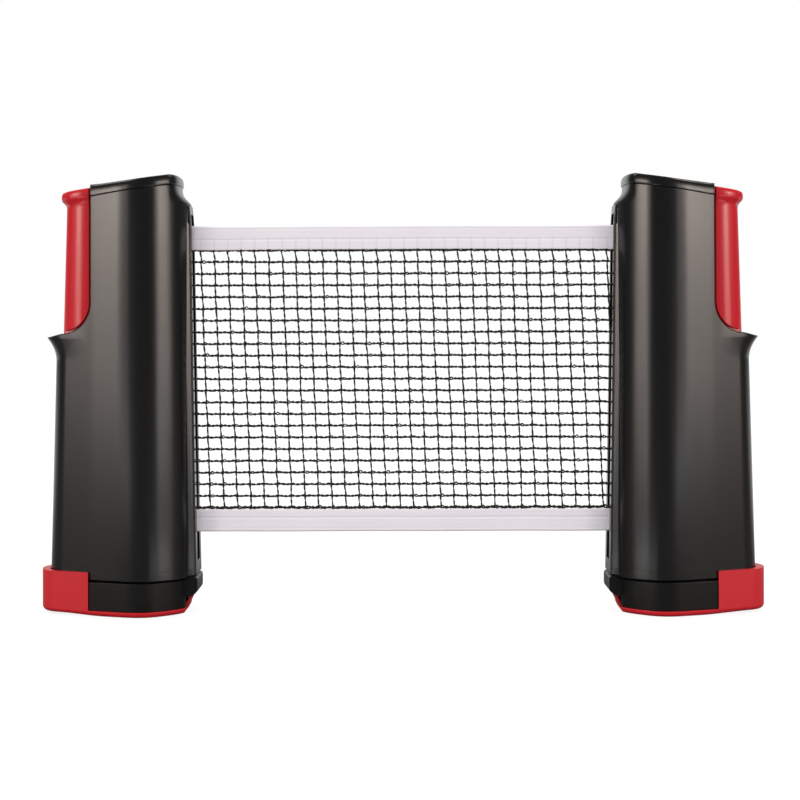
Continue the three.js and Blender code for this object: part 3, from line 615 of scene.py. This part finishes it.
red_satin, shader = principled("red_satin", (0.56, 0.010, 0.020), 0.42, Specular_IOR_Level=0.4)
tint(red_satin, shader, noise_at(red_satin, 12), (0.54, 0.009, 0.018), (0.58, 0.012, 0.023))
spread(red_satin, shader, noise_at(red_satin, 60), 0.38, 0.47)
raise_skin(red_satin, shader, noise_at(red_satin, 700, 3), 0.00004, 0.4)

HEEL_LIFT, LIFT_FROM, LIFT_RUN = 1.0, 18, 24
SOLE = 0.01
SOLE_ROUND_HEIGHT, SOLE_ROUND_INSET = 2.1, 1.8
SEAT_X, SEAT_Y, SEAT_RADIUS, SEAT_TOP = -36, 3.7, 3, 2


def heel_lift(x):
    """The underside rises a little toward the heel."""
    share = min(max((-x - LIFT_FROM) / LIFT_RUN, 0), 1)
    return HEEL_LIFT * share * share * (3 - 2 * share)


foot_rings = []
for i in range(7):
    angle = math.pi / 2 * i / 6
    low = SOLE + SOLE_ROUND_HEIGHT * (1 - math.cos(angle))
    inset = SOLE_ROUND_INSET * (1 - math.sin(angle))
    foot_rings.append([(x, y, low + heel_lift(x)) for x, y in foot_outline(inset)])
foot = solid("foot", [*foot_rings, at(foot_outline(0), WRAP_TOP)])
carve(foot, nose_tool(0))
pad_space = block("pad_space", (-WRAP_EDGE, FAR), (-FAR, FAR), (PLATE, HIGH))
carve(pad_space, bow_room(BOW_WALL, 0))
carve(foot, pad_space)
heel_space = column("heel_space", 4, 26, -FIT)
trim(heel_space, (-WRAP_EDGE + 1, FAR))
carve(foot, heel_space)
for y in (-SEAT_Y, SEAT_Y):
    turns = [i * math.pi / 12 for i in range(24)]
    ring = [(SEAT_X + SEAT_RADIUS * math.cos(turn), y + SEAT_RADIUS * math.sin(turn)) for turn in turns]
    carve(foot, solid("screw_seat", [at(ring, -1), at(ring, SEAT_TOP)]))
dress_edges(foot, 0.3)
both_posts(foot, "clamp_jaw", "clamp", red_satin)

# ---- Handles -------------------------
# The handle is a glossy red ABS channel that slides in the heel of the housing. Its slanted top
# has a rolled lip for the palm; below the finger lip it narrows to an open, ribbed channel.

red_gloss, shader = principled("red_gloss", (0.56, 0.008, 0.018), 0.21, Specular_IOR_Level=0.42)
tint(red_gloss, shader, noise_at(red_gloss, 10), (0.54, 0.007, 0.016), (0.58, 0.010, 0.021))
spread(red_gloss, shader, noise_at(red_gloss, 45), 0.20, 0.23)
raise_skin(red_gloss, shader, noise_at(red_gloss, 240, 2), 0.00003, 0.3)

HANDLE_INSET = WALL + FIT
HANDLE_WALL = 2.2
HANDLE_DROP = 0.05
HANDLE_FOOT = 4.3
BOW, BOW_FROM, BOW_RUN = 1.7, 24.0, 16.5
SUNK, SUNK_TO, SUNK_FADE = 1.35, 38, 3.5
CHANNEL_TOP = 125  # the channel below is narrower than the grip above


def handle_bow(x):
    """The flanks of the handle lie sunk, and bow out between its edge and its round heel."""
    share = (-x - BOW_FROM) / BOW_RUN
    bow = BOW * (1 - (2 * share - 1) ** 2) if 0 < share < 1 else 0
    return bow - SUNK * (1 - min(max((-x - SUNK_TO) / SUNK_FADE, 0), 1))


def handle_outline(z, inset, push=0.0):
    return housing_outline(z, HANDLE_INSET + inset, push, handle_bow)


def handle_ring(inset, drop, push=0.0):
    points = handle_outline(CAP_AT_AXIS - HANDLE_DROP - drop, inset, push)
    return [(x, y, cap_top(x) - HANDLE_DROP - drop) for x, y in points]


# each ring of the rolled lip as (drop from the top, reach outward, inset), from below up
lip = [
    (8.5, 0, 0), (7.5, 0.05, 0), (6.6, 0.25, 0), (5.8, 0.62, 0), (5.0, 1.15, 0), (4.3, 1.6, 0),
    (3.5, 1.85, 0), (2.6, 1.9, 0), (1.7, 1.9, 0), (0.9, 1.85, 0.1), (0.35, 1.7, 0.3), (0.05, 1.3, 0.7),
    (0, 0.8, 1.2)]
handle = solid("handle", [
    at(handle_outline(HANDLE_FOOT, 0), HANDLE_FOOT),
    *[handle_ring(inset - 0.45 * push, drop, push + 0.4 * inset) for drop, push, inset in lip]])
carve(handle, solid("handle_hollow", [
    at(handle_outline(2, HANDLE_WALL), 2),
    handle_ring(HANDLE_WALL, 8.5),
    handle_ring(HANDLE_WALL, HANDLE_WALL)]))
trim(handle, (-CUT_EDGE + 2.4, FAR), (CHANNEL_TOP, HIGH))
trim(handle, (CHANNEL_EDGE - FIT, FAR), (0, CHANNEL_TOP))
flank = cap_top(-CUT_EDGE) - HANDLE_DROP - 10.5
trim(handle, (-CUT_EDGE - FIT, FAR), (flank, HIGH))
for groove in grooves:
    carve(handle, groove)
dress_edges(handle, 0.25)

RIB, RIB_EDGE, RIB_HEIGHTS = 1.6, -34.4, (34.5, 54.5, 74.5, 94.5)
SCREW_BLOCK_TOP = 14.5
ARM_BOTTOM, ARM_TOP, ARM_EDGE = 120, 124, -21.9  # the arm presses on the clamp spring
cross_walls = [(HANDLE_FOOT, SCREW_BLOCK_TOP, CHANNEL_EDGE - FIT), (ARM_BOTTOM, ARM_TOP, ARM_EDGE)]
cross_walls += [(z, z + RIB, RIB_EDGE) for z in RIB_HEIGHTS]
ribs = []
for low, high, edge in cross_walls:
    rib = column("rib", low, high, HANDLE_INSET + HANDLE_WALL / 2)
    trim(rib, (edge, FAR))
    ribs.append(rib)
join(handle, ribs)
both_posts(handle, "clamp_handle", "clamp", red_gloss)

# ---- Clamp springs -------------------
# A zinc-plated compression spring stands on the shelf of each housing round a steel rod. The arm
# of the handle presses on it, and it pushes the jaw shut.

steel, shader = principled("bright_steel", (0.58, 0.58, 0.60), 0.28, Metallic=1.0)
spread(steel, shader, noise_at(steel, 500, 4, (1, 1, 0.08)), 0.22, 0.40)
tint(steel, shader, noise_at(steel, 30), (0.54, 0.54, 0.56), (0.62, 0.62, 0.64))


def coil(name, x, low, high, radius, wire, turns):
    steps, sides = 24, 8
    rings = []
    for i in range(turns * steps + 1):
        turn = i / steps * 2 * math.pi
        # the first and last turn lie flat, as ground ends do
        share = min(max((i / steps - 1) / (turns - 2), 0), 1)
        ease = 0.5 * wire * (min(i / steps, 1) + max(i / steps - turns + 1, 0)) * 2
        z = low + wire / 2 + ease + share * (high - low - 3 * wire)
        out = Vector((math.cos(turn), math.sin(turn), 0))
        centre = Vector((x, 0, z)) + out * radius
        ring = []
        for k in range(sides):
            spin = 2 * math.pi * k / sides
            down = Vector((0, 0, math.sin(spin) * wire / 2))
            ring.append(tuple(centre + out * (math.cos(spin) * wire / 2) - down))
        rings.append(ring[::-1])
    piece = solid(name, rings)
    face_outward(piece)
    smooth(piece, 60)
    return piece


for side, stand in POSTS:
    spring = coil(f"{side}_clamp_coil", x=-25.7, low=45.3, high=119.7, radius=3.5, wire=1.4, turns=12)
    spring.data.transform(stand)
    spring.data.materials.append(steel)
    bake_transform(spring)
    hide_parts(f"{side}_clamp_spring")

# ---- Winding springs -----------------
# A long torsion spring of bright steel lies inside each drum, round its fixed spindle. Pulling the
# net out winds it up, and it draws the net back in.

for side, stand in POSTS:
    spring = coil(f"{side}_winding_coil", x=0, low=33.1, high=118, radius=3.75, wire=1.0, turns=26)
    spring.data.transform(stand)
    spring.data.materials.append(steel)
    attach(spring, f"{side}_reel")
    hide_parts(f"{side}_reel_spring")

# ---- Drums, spindles, rods and screws ----
# The drum is an acetal tube with a plug at each end, turning on a steel spindle below and a bush
# under the cap. Rods and screws are plated steel.

acetal, shader = principled("white_acetal", (0.70, 0.68, 0.63), 0.45)
tint(acetal, shader, noise_at(acetal, 25), (0.66, 0.64, 0.59), (0.73, 0.71, 0.66))
raise_skin(acetal, shader, noise_at(acetal, 400, 2), 0.00003, 0.3)

inner_pieces = {
    "reel_tube": acetal, "reel_bottom_plug": acetal, "reel_top_plug": acetal, "net_key": acetal,
    "upper_bush": acetal, "reel_arbor": steel, "guide_rod": steel, "base_screw_1": steel,
    "base_screw_2": steel, "jaw_screw_1": steel, "jaw_screw_2": steel}
for side in ("left", "right"):
    for node, material in inner_pieces.items():
        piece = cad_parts[f"{side}_{node}"]
        piece.data.materials.clear()
        piece.data.materials.append(material)

# ---- Net tapes -----------------------
# A white woven polyester tape is folded over the top and bottom edge of the net and sewn down
# the middle. Its ends run through the slots to the drums.

tape_cloth, shader = principled("white_tape", (0.80, 0.765, 0.79), 0.9, Sheen_Weight=0.2)
tree = tape_cloth.node_tree


def feed(tree, socket, value):
    """Sets a socket's value, or links another socket to it."""
    if isinstance(value, bpy.types.NodeSocket):
        tree.links.new(value, socket)
    else:
        socket.default_value = value


def worked(tree, operation, *values):
    """A Math node, fed by numbers or by sockets."""
    node = tree.nodes.new("ShaderNodeMath")
    node.operation = operation
    for i, value in enumerate(values):
        feed(tree, node.inputs[i], value)
    return node.outputs["Value"]


def mixed(tree, kind, share, first, second):
    """A Mix node of two colours or two numbers."""
    node = tree.nodes.new("ShaderNodeMix")
    node.data_type = kind
    for socket, value in (("Factor", share), ("A", first), ("B", second)):
        feed(tree, node.inputs[socket], value)
    return node.outputs["Result"]


def place_in(tree, place="Object"):
    """The coordinates, whole and in X, Y and Z."""
    coordinates = tree.nodes.new("ShaderNodeTexCoord").outputs[place]
    parts = tree.nodes.new("ShaderNodeSeparateXYZ")
    tree.links.new(coordinates, parts.inputs["Vector"])
    return coordinates, parts.outputs


def bands(tree, place, way, **settings):
    wave = tree.nodes.new("ShaderNodeTexWave")
    wave.bands_direction = way
    tree.links.new(place, wave.inputs["Vector"])
    for name, value in settings.items():
        wave.inputs[name.replace("_", " ")].default_value = value
    return wave.outputs["Fac"]


place, axes = place_in(tree)
warp = bands(tree, place, "X", Scale=640, Distortion=0.8, Detail=1)
weft = bands(tree, place, "Z", Scale=520, Distortion=0.8, Detail=1)
raise_skin(tape_cloth, shader, worked(tree, "MULTIPLY", warp, weft), 0.00007, 0.5)
# the uprights of the net show faintly through the lower half of the upper fold
uprights = bands(tree, place, "X", Scale=48.78, Distortion=1.2, Phase_Offset=2.56, Detail_Scale=0.6)
lower_half = ranged(tree, axes["Z"], 0.1772, 0.1756)
lower_half = worked(tree, "MULTIPLY", lower_half, worked(tree, "GREATER_THAN", axes["Z"], 0.1))
faint = worked(tree, "MULTIPLY", lower_half, ranged(tree, uprights, 0.90, 1.0, 0, 0.5))
clouds = ranged(tree, noise_at(tape_cloth, 55, 3, (0.5, 1, 1)), 0.35, 0.65)
cloth = mixed(tree, "RGBA", clouds, (0.83, 0.81, 0.868, 1), (0.81, 0.768, 0.84, 1))
tree.links.new(mixed(tree, "RGBA", faint, cloth, (0.68, 0.65, 0.70, 1)), shader.inputs["Base Color"])

NET_BOTTOM, NET_TOP = 37.0, 182.5
TAPE_HALF, FOLD_ROUND, SWAY = 0.62, 0.6, 0.6
SEAMS = ((0.20, 6.6, 0.28), (0.08, 1.6, 0.22))  # depth, place from the fold and half width
HEM_DEPTH, HEM_RUN = 0.15, 0.3
BEND_X, ROLL = 20.0, 14.0  # from the drum's axis to the bend of the net, and to the roll's skin


def net_path(clear):
    """Plan of the net from the left roll through both slots to the right roll."""
    reach = math.sqrt(BEND_X * BEND_X - clear * clear)
    lean = math.asin(clear / BEND_X)
    end = (AXIS - BEND_X + reach * math.cos(lean), -reach * math.sin(lean))
    return [(-end[0], -end[1]), (-(AXIS - BEND_X), 0), (AXIS - BEND_X, 0), end]


def along_net(x, clear):
    """Where the net lies in Y at x: straight between the posts, and bent to the roll inside them."""
    (x0, y0), (x1, _), (x2, _), (x3, y3) = net_path(clear)
    if x < x1:
        return y0 * (x1 - x) / (x1 - x0)
    if x > x2:
        return y3 * (x - x2) / (x3 - x2)
    return 0.0


def tape(name, low, width, fold, arch, seed, node):
    """A folded tape; fold is 1 where its folded edge is the upper one, arch its rise in the middle."""
    rng = random.Random(seed)
    start = net_path(ROLL + 1)[0][0]
    waves = [(rng.uniform(18, 60), rng.uniform(0, 6.28), rng.uniform(0.02, 0.06)) for _ in range(5)]
    profile = []
    for i in range(29):
        height = width * i / 28
        to_fold = width - height if fold > 0 else height
        to_hem = width - to_fold
        half = TAPE_HALF * math.sqrt(1 - max(1 - to_fold / FOLD_ROUND, 0) ** 2 * 0.98)
        for depth, place, run in SEAMS:
            half -= depth * math.exp(-((to_fold - place) / run) ** 2)
        half -= HEM_DEPTH * max(1 - to_hem / HEM_RUN, 0)
        profile.append((height, half))
    rings = []
    for i in range(161):
        x = start - 2 * start * i / 160
        sway = along_net(x, ROLL + 1)
        sway += SWAY * sum(a * math.sin(x / w * 6.28 + p) for w, p, a in waves)
        free = min(max((100 - abs(x)) / 10, 0), 1)  # it runs level where it enters the slots
        lift = (arch * math.cos((x - 20) / 60) + 0.05 * math.sin(x / 11 + 2 * seed)) * free
        ring = [(x, sway - half, low + height + lift) for height, half in profile]
        ring += [(x, sway + half, low + height + lift) for height, half in reversed(profile)]
        rings.append(ring)
    piece = solid(name, rings)
    face_outward(piece)
    smooth(piece, 55)
    piece.data.materials.append(tape_cloth)
    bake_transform(piece)
    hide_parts(node)


TOP_TAPE, BOTTOM_TAPE = 11.4, 10.5
tape("top_tape", NET_TOP - TOP_TAPE - 0.3, TOP_TAPE, 1, 0.3, 3, "net_top_tape")
tape("bottom_tape", NET_BOTTOM, BOTTOM_TAPE, -1, 0, 8, "net_bottom_tape")

# ---- Net -----------------------------
# The net is knitted from black polyester cord: thick rows with a knot at each crossing, thinner
# and slightly wandering uprights, and small loops of loose yarn at many of the knots.

net_cord, shader = principled("net_cord", (0.006, 0.006, 0.0065), 0.85, Sheen_Weight=0.15)
tint(net_cord, shader, noise_at(net_cord, 900, 3), (0.004, 0.004, 0.0045), (0.012, 0.012, 0.013))
raise_skin(net_cord, shader, noise_at(net_cord, 2600, 2), 0.0001, 0.8)

ROWS, ROW_PITCH, FIRST_ROW = 23, 5.559, 170.6
COLUMN_PITCH, COLUMN_SHIFT = 6.44, 2.9
SKEW = 0.2  # each upright leans, by this much a row
ROW_YARN, EDGE_YARN, UPRIGHT_YARN, LOOP_YARN = 0.39, 0.48, 0.26, 0.08  # radii
STEP = 0.42  # along a row
SAG, WAVER = 0.10, 0.10
ROW_TWIST = 0.12  # how far its two yarns go before and behind each other
UPRIGHT_WIDE, UPRIGHT_DEEP, UPRIGHT_BACK = 0.21, 0.1, 0.1  # of its two yarns, and its place
NET_SEEN = 97  # half of the length between the posts
yarn = random.Random(21)
net_points, net_faces = [], []


def strand(path, radii, sides):
    """A tube of the net through the points of path."""
    base = len(net_points)
    for i, point in enumerate(path):
        before, after = path[max(i - 1, 0)], path[min(i + 1, len(path) - 1)]
        way = (Vector(after) - Vector(before)).normalized()
        side = way.cross(Vector((0, 1, 0)))
        side = side.normalized() if side.length > 1e-4 else Vector((1, 0, 0))
        up = way.cross(side)
        for k in range(sides):
            spin = 2 * math.pi * k / sides
            out = side * math.cos(spin) + up * math.sin(spin)
            net_points.append((Vector(point) + out * radii[i]) * MM)
    for i in range(len(path) - 1):
        for k in range(sides):
            a, b = base + i * sides + k, base + i * sides + (k + 1) % sides
            net_faces.append((a, a + sides, b + sides, b))
    net_faces.append(tuple(range(base, base + sides)))
    last = base + (len(path) - 1) * sides
    net_faces.append(tuple(reversed(range(last, last + sides))))


net_clear = ROLL + 0.75
net_end = -net_path(net_clear)[0][0]
half_columns = int(net_end / COLUMN_PITCH)
columns = [i * COLUMN_PITCH + COLUMN_SHIFT for i in range(-half_columns, half_columns)]
rows = [FIRST_ROW - i * ROW_PITCH for i in range(ROWS)]
knots = {}
for c, x in enumerate(columns):
    for r, z in enumerate(rows):
        knots[c, r] = (x + SKEW * (r - ROWS / 2) + yarn.uniform(-0.2, 0.2), z + yarn.uniform(-0.12, 0.12))

for r in range(ROWS):
    edge = r in (0, ROWS - 1)
    thick = EDGE_YARN if edge else ROW_YARN
    # two yarns twist round each other and part here and there into a small loop
    loops = [(knots[c, r][0] + yarn.uniform(0.4, 1.6), yarn.uniform(0.35, 0.6))
             for c in range(len(columns)) if yarn.random() < 0.55]
    turn, steps = yarn.uniform(0, 6.28), int(2 * net_end / STEP)
    stops = [(-net_end - 1, rows[r])] + [knots[c, r] for c in range(len(columns))] + [(net_end + 1, rows[r])]
    upper, lower, radii = [], [], []
    stop = 0
    for i in range(steps + 1):
        x = -net_end + 2 * net_end * i / steps
        while stop < len(stops) - 2 and x > stops[stop + 1][0]:
            stop += 1
        (x0, z0), (x1, z1) = stops[stop], stops[stop + 1]
        share = (x - x0) / (x1 - x0)
        middle = z0 + (z1 - z0) * share - SAG * math.sin(math.pi * share)
        middle += WAVER * math.sin(x / 0.9 + 3 * math.sin(x / 7))
        turn += STEP * yarn.uniform(0.7, 2.3)
        part = (0.46 if edge else 0.38) + sum(a * math.exp(-((x - p) / 0.5) ** 2) for p, a in loops)
        y = along_net(x, net_clear)
        rise = part * (abs(math.sin(turn)) if part > 0.3 else math.sin(turn))
        upper.append((x, y + ROW_TWIST * math.cos(turn), middle + rise))
        lower.append((x, y - ROW_TWIST * math.cos(turn), middle - rise * (0.5 if part > 0.3 else 1)))
        knot = math.exp(-(min(x - x0, x1 - x) / 0.55) ** 2)
        radii.append(thick * (0.9 + 0.35 * knot + yarn.uniform(-0.2, 0.2)))
    strand(upper, radii, 5)
    strand(lower, radii, 5)

for c in range(len(columns)):
    turn = yarn.uniform(0, 6.28)
    left, right, radii = [], [], []
    for r in range(ROWS - 1):
        (top_x, top_z), (low_x, low_z) = knots[c, r], knots[c, r + 1]
        lean = 1.0 if r == 0 else yarn.uniform(0.1, 0.45)
        for i in range(8):
            share = i / 7
            x = top_x + (low_x - top_x) * share + lean * (share - 0.5) * (1 - (2 * share - 1) ** 6)
            turn += yarn.uniform(0.2, 1.2)
            y, z = along_net(x, net_clear) + UPRIGHT_BACK, top_z + (low_z - top_z) * share
            out, deep = UPRIGHT_WIDE * math.sin(turn), UPRIGHT_DEEP * math.cos(turn)
            left.append((x - out, y - deep, z))
            right.append((x + out, y + deep, z))
            knot = math.exp(-(min(share, 1 - share) * ROW_PITCH / 0.7) ** 2)
            radii.append(UPRIGHT_YARN * (1 + 0.35 * knot + yarn.uniform(-0.15, 0.15)))
    strand(left, radii, 5)
    strand(right, radii, 5)

for (c, r), (x, z) in knots.items():
    if abs(x) > NET_SEEN or not 0 < r < ROWS - 1 or yarn.random() > 0.4:
        continue
    side, reach, drop = yarn.choice((-1, 1)), yarn.uniform(0.6, 1.3), yarn.uniform(0.5, 1.1)
    hair = []
    for i in range(7):
        turn = math.pi * i / 6
        out, down = math.sin(turn), (1 - math.cos(turn)) / 2
        hair.append((x + side * reach * out, -0.3 * out, z - 0.2 - drop * down))
    strand(hair, [LOOP_YARN] * 7, 3)

net = shaped("net_cords", net_points, net_faces)
for polygon in net.data.polygons:
    polygon.use_smooth = True
net.data.materials.append(net_cord)
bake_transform(net)
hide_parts("net_mesh")

# ---- Wound net -----------------------
# The rest of the net is wound on the drum in flat layers: black net in the middle of its height
# and the white tape at both ends. It shows only as a dark roll behind the slot.

DRUM = 8.4
LAYER_FILL = 0.42  # share of each layer that the cloth takes up


def wound(name, low, high, material, rim):
    turns, per_turn = 6, 48
    inner, outer = DRUM, ROLL - rim
    layer = (outer - inner) / turns
    points, faces = [], []
    count = turns * per_turn
    for i in range(count + 1):
        radius = inner + layer * i / per_turn
        turn = 2 * math.pi * i / per_turn
        for r in (radius - layer * LAYER_FILL, radius):
            for z in (low, high):
                points.append(Vector((r * math.cos(turn), r * math.sin(turn), z)) * MM)
    for i in range(count):
        a, b = 4 * i, 4 * i + 4
        faces += [(a, a + 1, b + 1, b), (a + 2, b + 2, b + 3, a + 3)]
        faces += [(a + 1, a + 3, b + 3, b + 1), (a, b, b + 2, a + 2)]
    faces += [(0, 2, 3, 1), (4 * count, 4 * count + 1, 4 * count + 3, 4 * count + 2)]
    for side, stand in POSTS:
        piece = shaped(f"{side}_{name}", points, faces)
        piece.data.transform(stand)
        smooth(piece, 40)
        piece.data.materials.append(material)
        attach(piece, f"{side}_reel")
        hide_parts(f"{side}_net_roll")


wound("wound_net", NET_BOTTOM + BOTTOM_TAPE, NET_TOP - TOP_TAPE, net_cord, 0.1)
wound("wound_top_tape", NET_TOP - TOP_TAPE + 0.1, NET_TOP, tape_cloth, 0)
wound("wound_bottom_tape", NET_BOTTOM, NET_BOTTOM + BOTTOM_TAPE - 0.1, tape_cloth, 0)

# ---- Floor ---------------------------
# The posts stand on a plain white floor, with a soft shadow under the feet. To mirrored rays the
# floor glows with painted light, which the polished shells mirror: dim in front, light behind, and a
# painted streak of light where the soft boxes would shine along it.

FLOOR = 6.0
# how white the floor looks to the eye, and the painted light that mirrored rays see: in front, behind and at
# the peak of the painted streak
FLOOR_SEEN, FLOOR_FRONT, FLOOR_BACK, FLOOR_PAINTED_SHINE = 0.87, 0.01, 0.90, 5.2
# the painted streak of light on the floor: its course, its width, its even core and where it starts
SHINE_WAY = 1.07  # the shine runs this much aside for each metre ahead of the far post
SHINE_ROOT, SHINE_WIDENS = 0.01, 0.13  # half its width at the post, and more for each metre
SHINE_CORE, SHINE_START = 0.3, 0.5

corners = [(-FLOOR, -FLOOR, 0), (FLOOR, -FLOOR, 0), (FLOOR, FLOOR, 0), (-FLOOR, FLOOR, 0)]
floor = shaped("floor", corners, [(0, 1, 2, 3)])
floor_white, shader = principled("floor_white", (0.12, 0.12, 0.12), 0.8)
tree = floor_white.node_tree
_, axes = place_in(tree)
ahead = worked(tree, "MAXIMUM", worked(tree, "MULTIPLY", axes["Y"], -1), 0)
beside = worked(tree, "ABSOLUTE", axes["X"])
from_far_post = worked(tree, "ADD", beside, AXIS * MM)
middle = worked(tree, "MULTIPLY", ahead, SHINE_WAY)
off_shine = worked(tree, "ABSOLUTE", worked(tree, "SUBTRACT", from_far_post, middle))
width = worked(tree, "MULTIPLY_ADD", ahead, SHINE_WIDENS, SHINE_ROOT)
off_shine = worked(tree, "DIVIDE", off_shine, width)
# a painted streak of light on the floor, seen only by mirrored rays, where the soft boxes would light it
painted_shine = ranged(tree, off_shine, SHINE_CORE, 1.0, FLOOR_PAINTED_SHINE, FLOOR_FRONT, "SMOOTHSTEP")
far_ahead = worked(tree, "GREATER_THAN", ahead, SHINE_START)
under_net = worked(tree, "LESS_THAN", beside, AXIS * MM / 2)
painted_shine = worked(tree, "MULTIPLY", painted_shine, worked(tree, "MAXIMUM", far_ahead, under_net))
# painted light for mirrored rays: dim in front of the posts, light behind them
behind = ranged(tree, axes["Y"], 0.0, 0.5, FLOOR_FRONT, FLOOR_BACK, "SMOOTHSTEP")
mirrored = worked(tree, "MAXIMUM", painted_shine, behind)


def ray_kinds(tree):
    """Tells the rays that come straight from the eye, and the mirrored ones."""
    rays = tree.nodes.new("ShaderNodeLightPath").outputs
    direct = worked(tree, "MAXIMUM", rays["Is Camera Ray"], rays["Is Transmission Ray"])
    return direct, rays["Is Glossy Ray"]


direct, glossy = ray_kinds(tree)
seen = worked(tree, "MULTIPLY", direct, FLOOR_SEEN)
glow = tree.nodes.new("ShaderNodeEmission")
# the floor glows evenly white to the eye, and with the painted light above to mirrored rays
strength = worked(tree, "ADD", seen, worked(tree, "MULTIPLY", glossy, mirrored))
tree.links.new(strength, glow.inputs["Strength"])
both = tree.nodes.new("ShaderNodeAddShader")
tree.links.new(shader.outputs["BSDF"], both.inputs[0])
tree.links.new(glow.outputs["Emission"], both.inputs[1])
tree.links.new(both.outputs["Shader"], tree.nodes["Material Output"].inputs["Surface"])
floor_white.cycles.emission_sampling = "NONE"
floor.data.materials.append(floor_white)

# ---- Studio --------------------------
# Two tall, far soft boxes light the posts from the front left and right, brighter above. Two small
# lamps overhead draw the light lines on the edges. The room is white, and its front mirrors dim.

ROOM_SEEN, ROOM_LIGHT, ROOM_FRONT, ROOM_BACK = 1.0, 1.29, 0.13, 0.95

world = bpy.data.worlds.new("studio")
bpy.context.scene.world = world
world.use_nodes = True
tree = world.node_tree
room = tree.nodes["Background"]
room.inputs["Color"].default_value = (1, 1, 1, 1)
_, axes = place_in(tree, "Generated")
direct, glossy = ray_kinds(tree)
mirrored = ranged(tree, axes["Y"], 0.5, 0.9, ROOM_FRONT, ROOM_BACK)
light = mixed(tree, "FLOAT", glossy, ROOM_LIGHT, mirrored)
tree.links.new(mixed(tree, "FLOAT", direct, light, ROOM_SEEN), room.inputs["Strength"])

WARM = (1.0, 0.88, 0.80)
BOX_ASIDE, BOX_AHEAD, BOX_WIDE = 3.20, 2.66, 0.76
# each tier of a soft box as (name, height, tall, radiance)
BOX_TIERS = (("low", 0.14, 0.28, 5.4), ("middle", 0.43, 0.30, 4.8), ("high", 0.865, 0.57, 15.4))
LAMP_PLACE, LAMP_AIM, LAMP_SIZE, LAMP_RADIANCE = (1.20, -0.05, 1.75), (0.12, 0, 0.1), 0.5, 9


def soft_box(name, position, target, size, radiance):
    lamp = bpy.data.lights.new(name, "AREA")
    lamp.shape = "RECTANGLE"
    lamp.size, lamp.size_y = size
    lamp.energy = radiance * math.pi * size[0] * size[1]
    lamp.color = WARM
    stand = placed(name, lamp)
    stand.location = position
    stand.rotation_euler = (Vector(target) - Vector(position)).to_track_quat("-Z", "Y").to_euler()


for side, way in (("left", -1), ("right", 1)):
    for tier, height, tall, radiance in BOX_TIERS:
        position = (way * BOX_ASIDE, -BOX_AHEAD, height)
        soft_box(f"{side}_{tier}_box", position, (0, 0, height), (BOX_WIDE, tall), radiance)
    position, aim = ((way * spot[0], spot[1], spot[2]) for spot in (LAMP_PLACE, LAMP_AIM))
    soft_box(f"{side}_edge_lamp", position, aim, (LAMP_SIZE, LAMP_SIZE), LAMP_RADIANCE)

# ---- Camera --------------------------
# The camera stands 0.7 m in front of the net, a little over half its height, and looks level with
# a slight roll. Its lens is shifted, so that the uprights of the posts stay parallel.

PICTURE, SENSOR = 800, 36  # pixels and millimetres
FOCAL, SHIFT_X, SHIFT_Y = 1472, -2.7, -73  # in pixels

camera_data = bpy.data.cameras.new("camera")
camera = placed("camera", camera_data)
camera.location = (0, -0.7, 0.134)
camera.rotation_euler = (math.radians(90), math.radians(0.15), 0)
camera_data.sensor_width = SENSOR
camera_data.lens = FOCAL / PICTURE * SENSOR
camera_data.shift_x = SHIFT_X / PICTURE
camera_data.shift_y = SHIFT_Y / PICTURE
camera_data.clip_start = 0.01
bpy.context.scene.camera = camera
bpy.context.scene.view_settings.view_transform = "Standard"
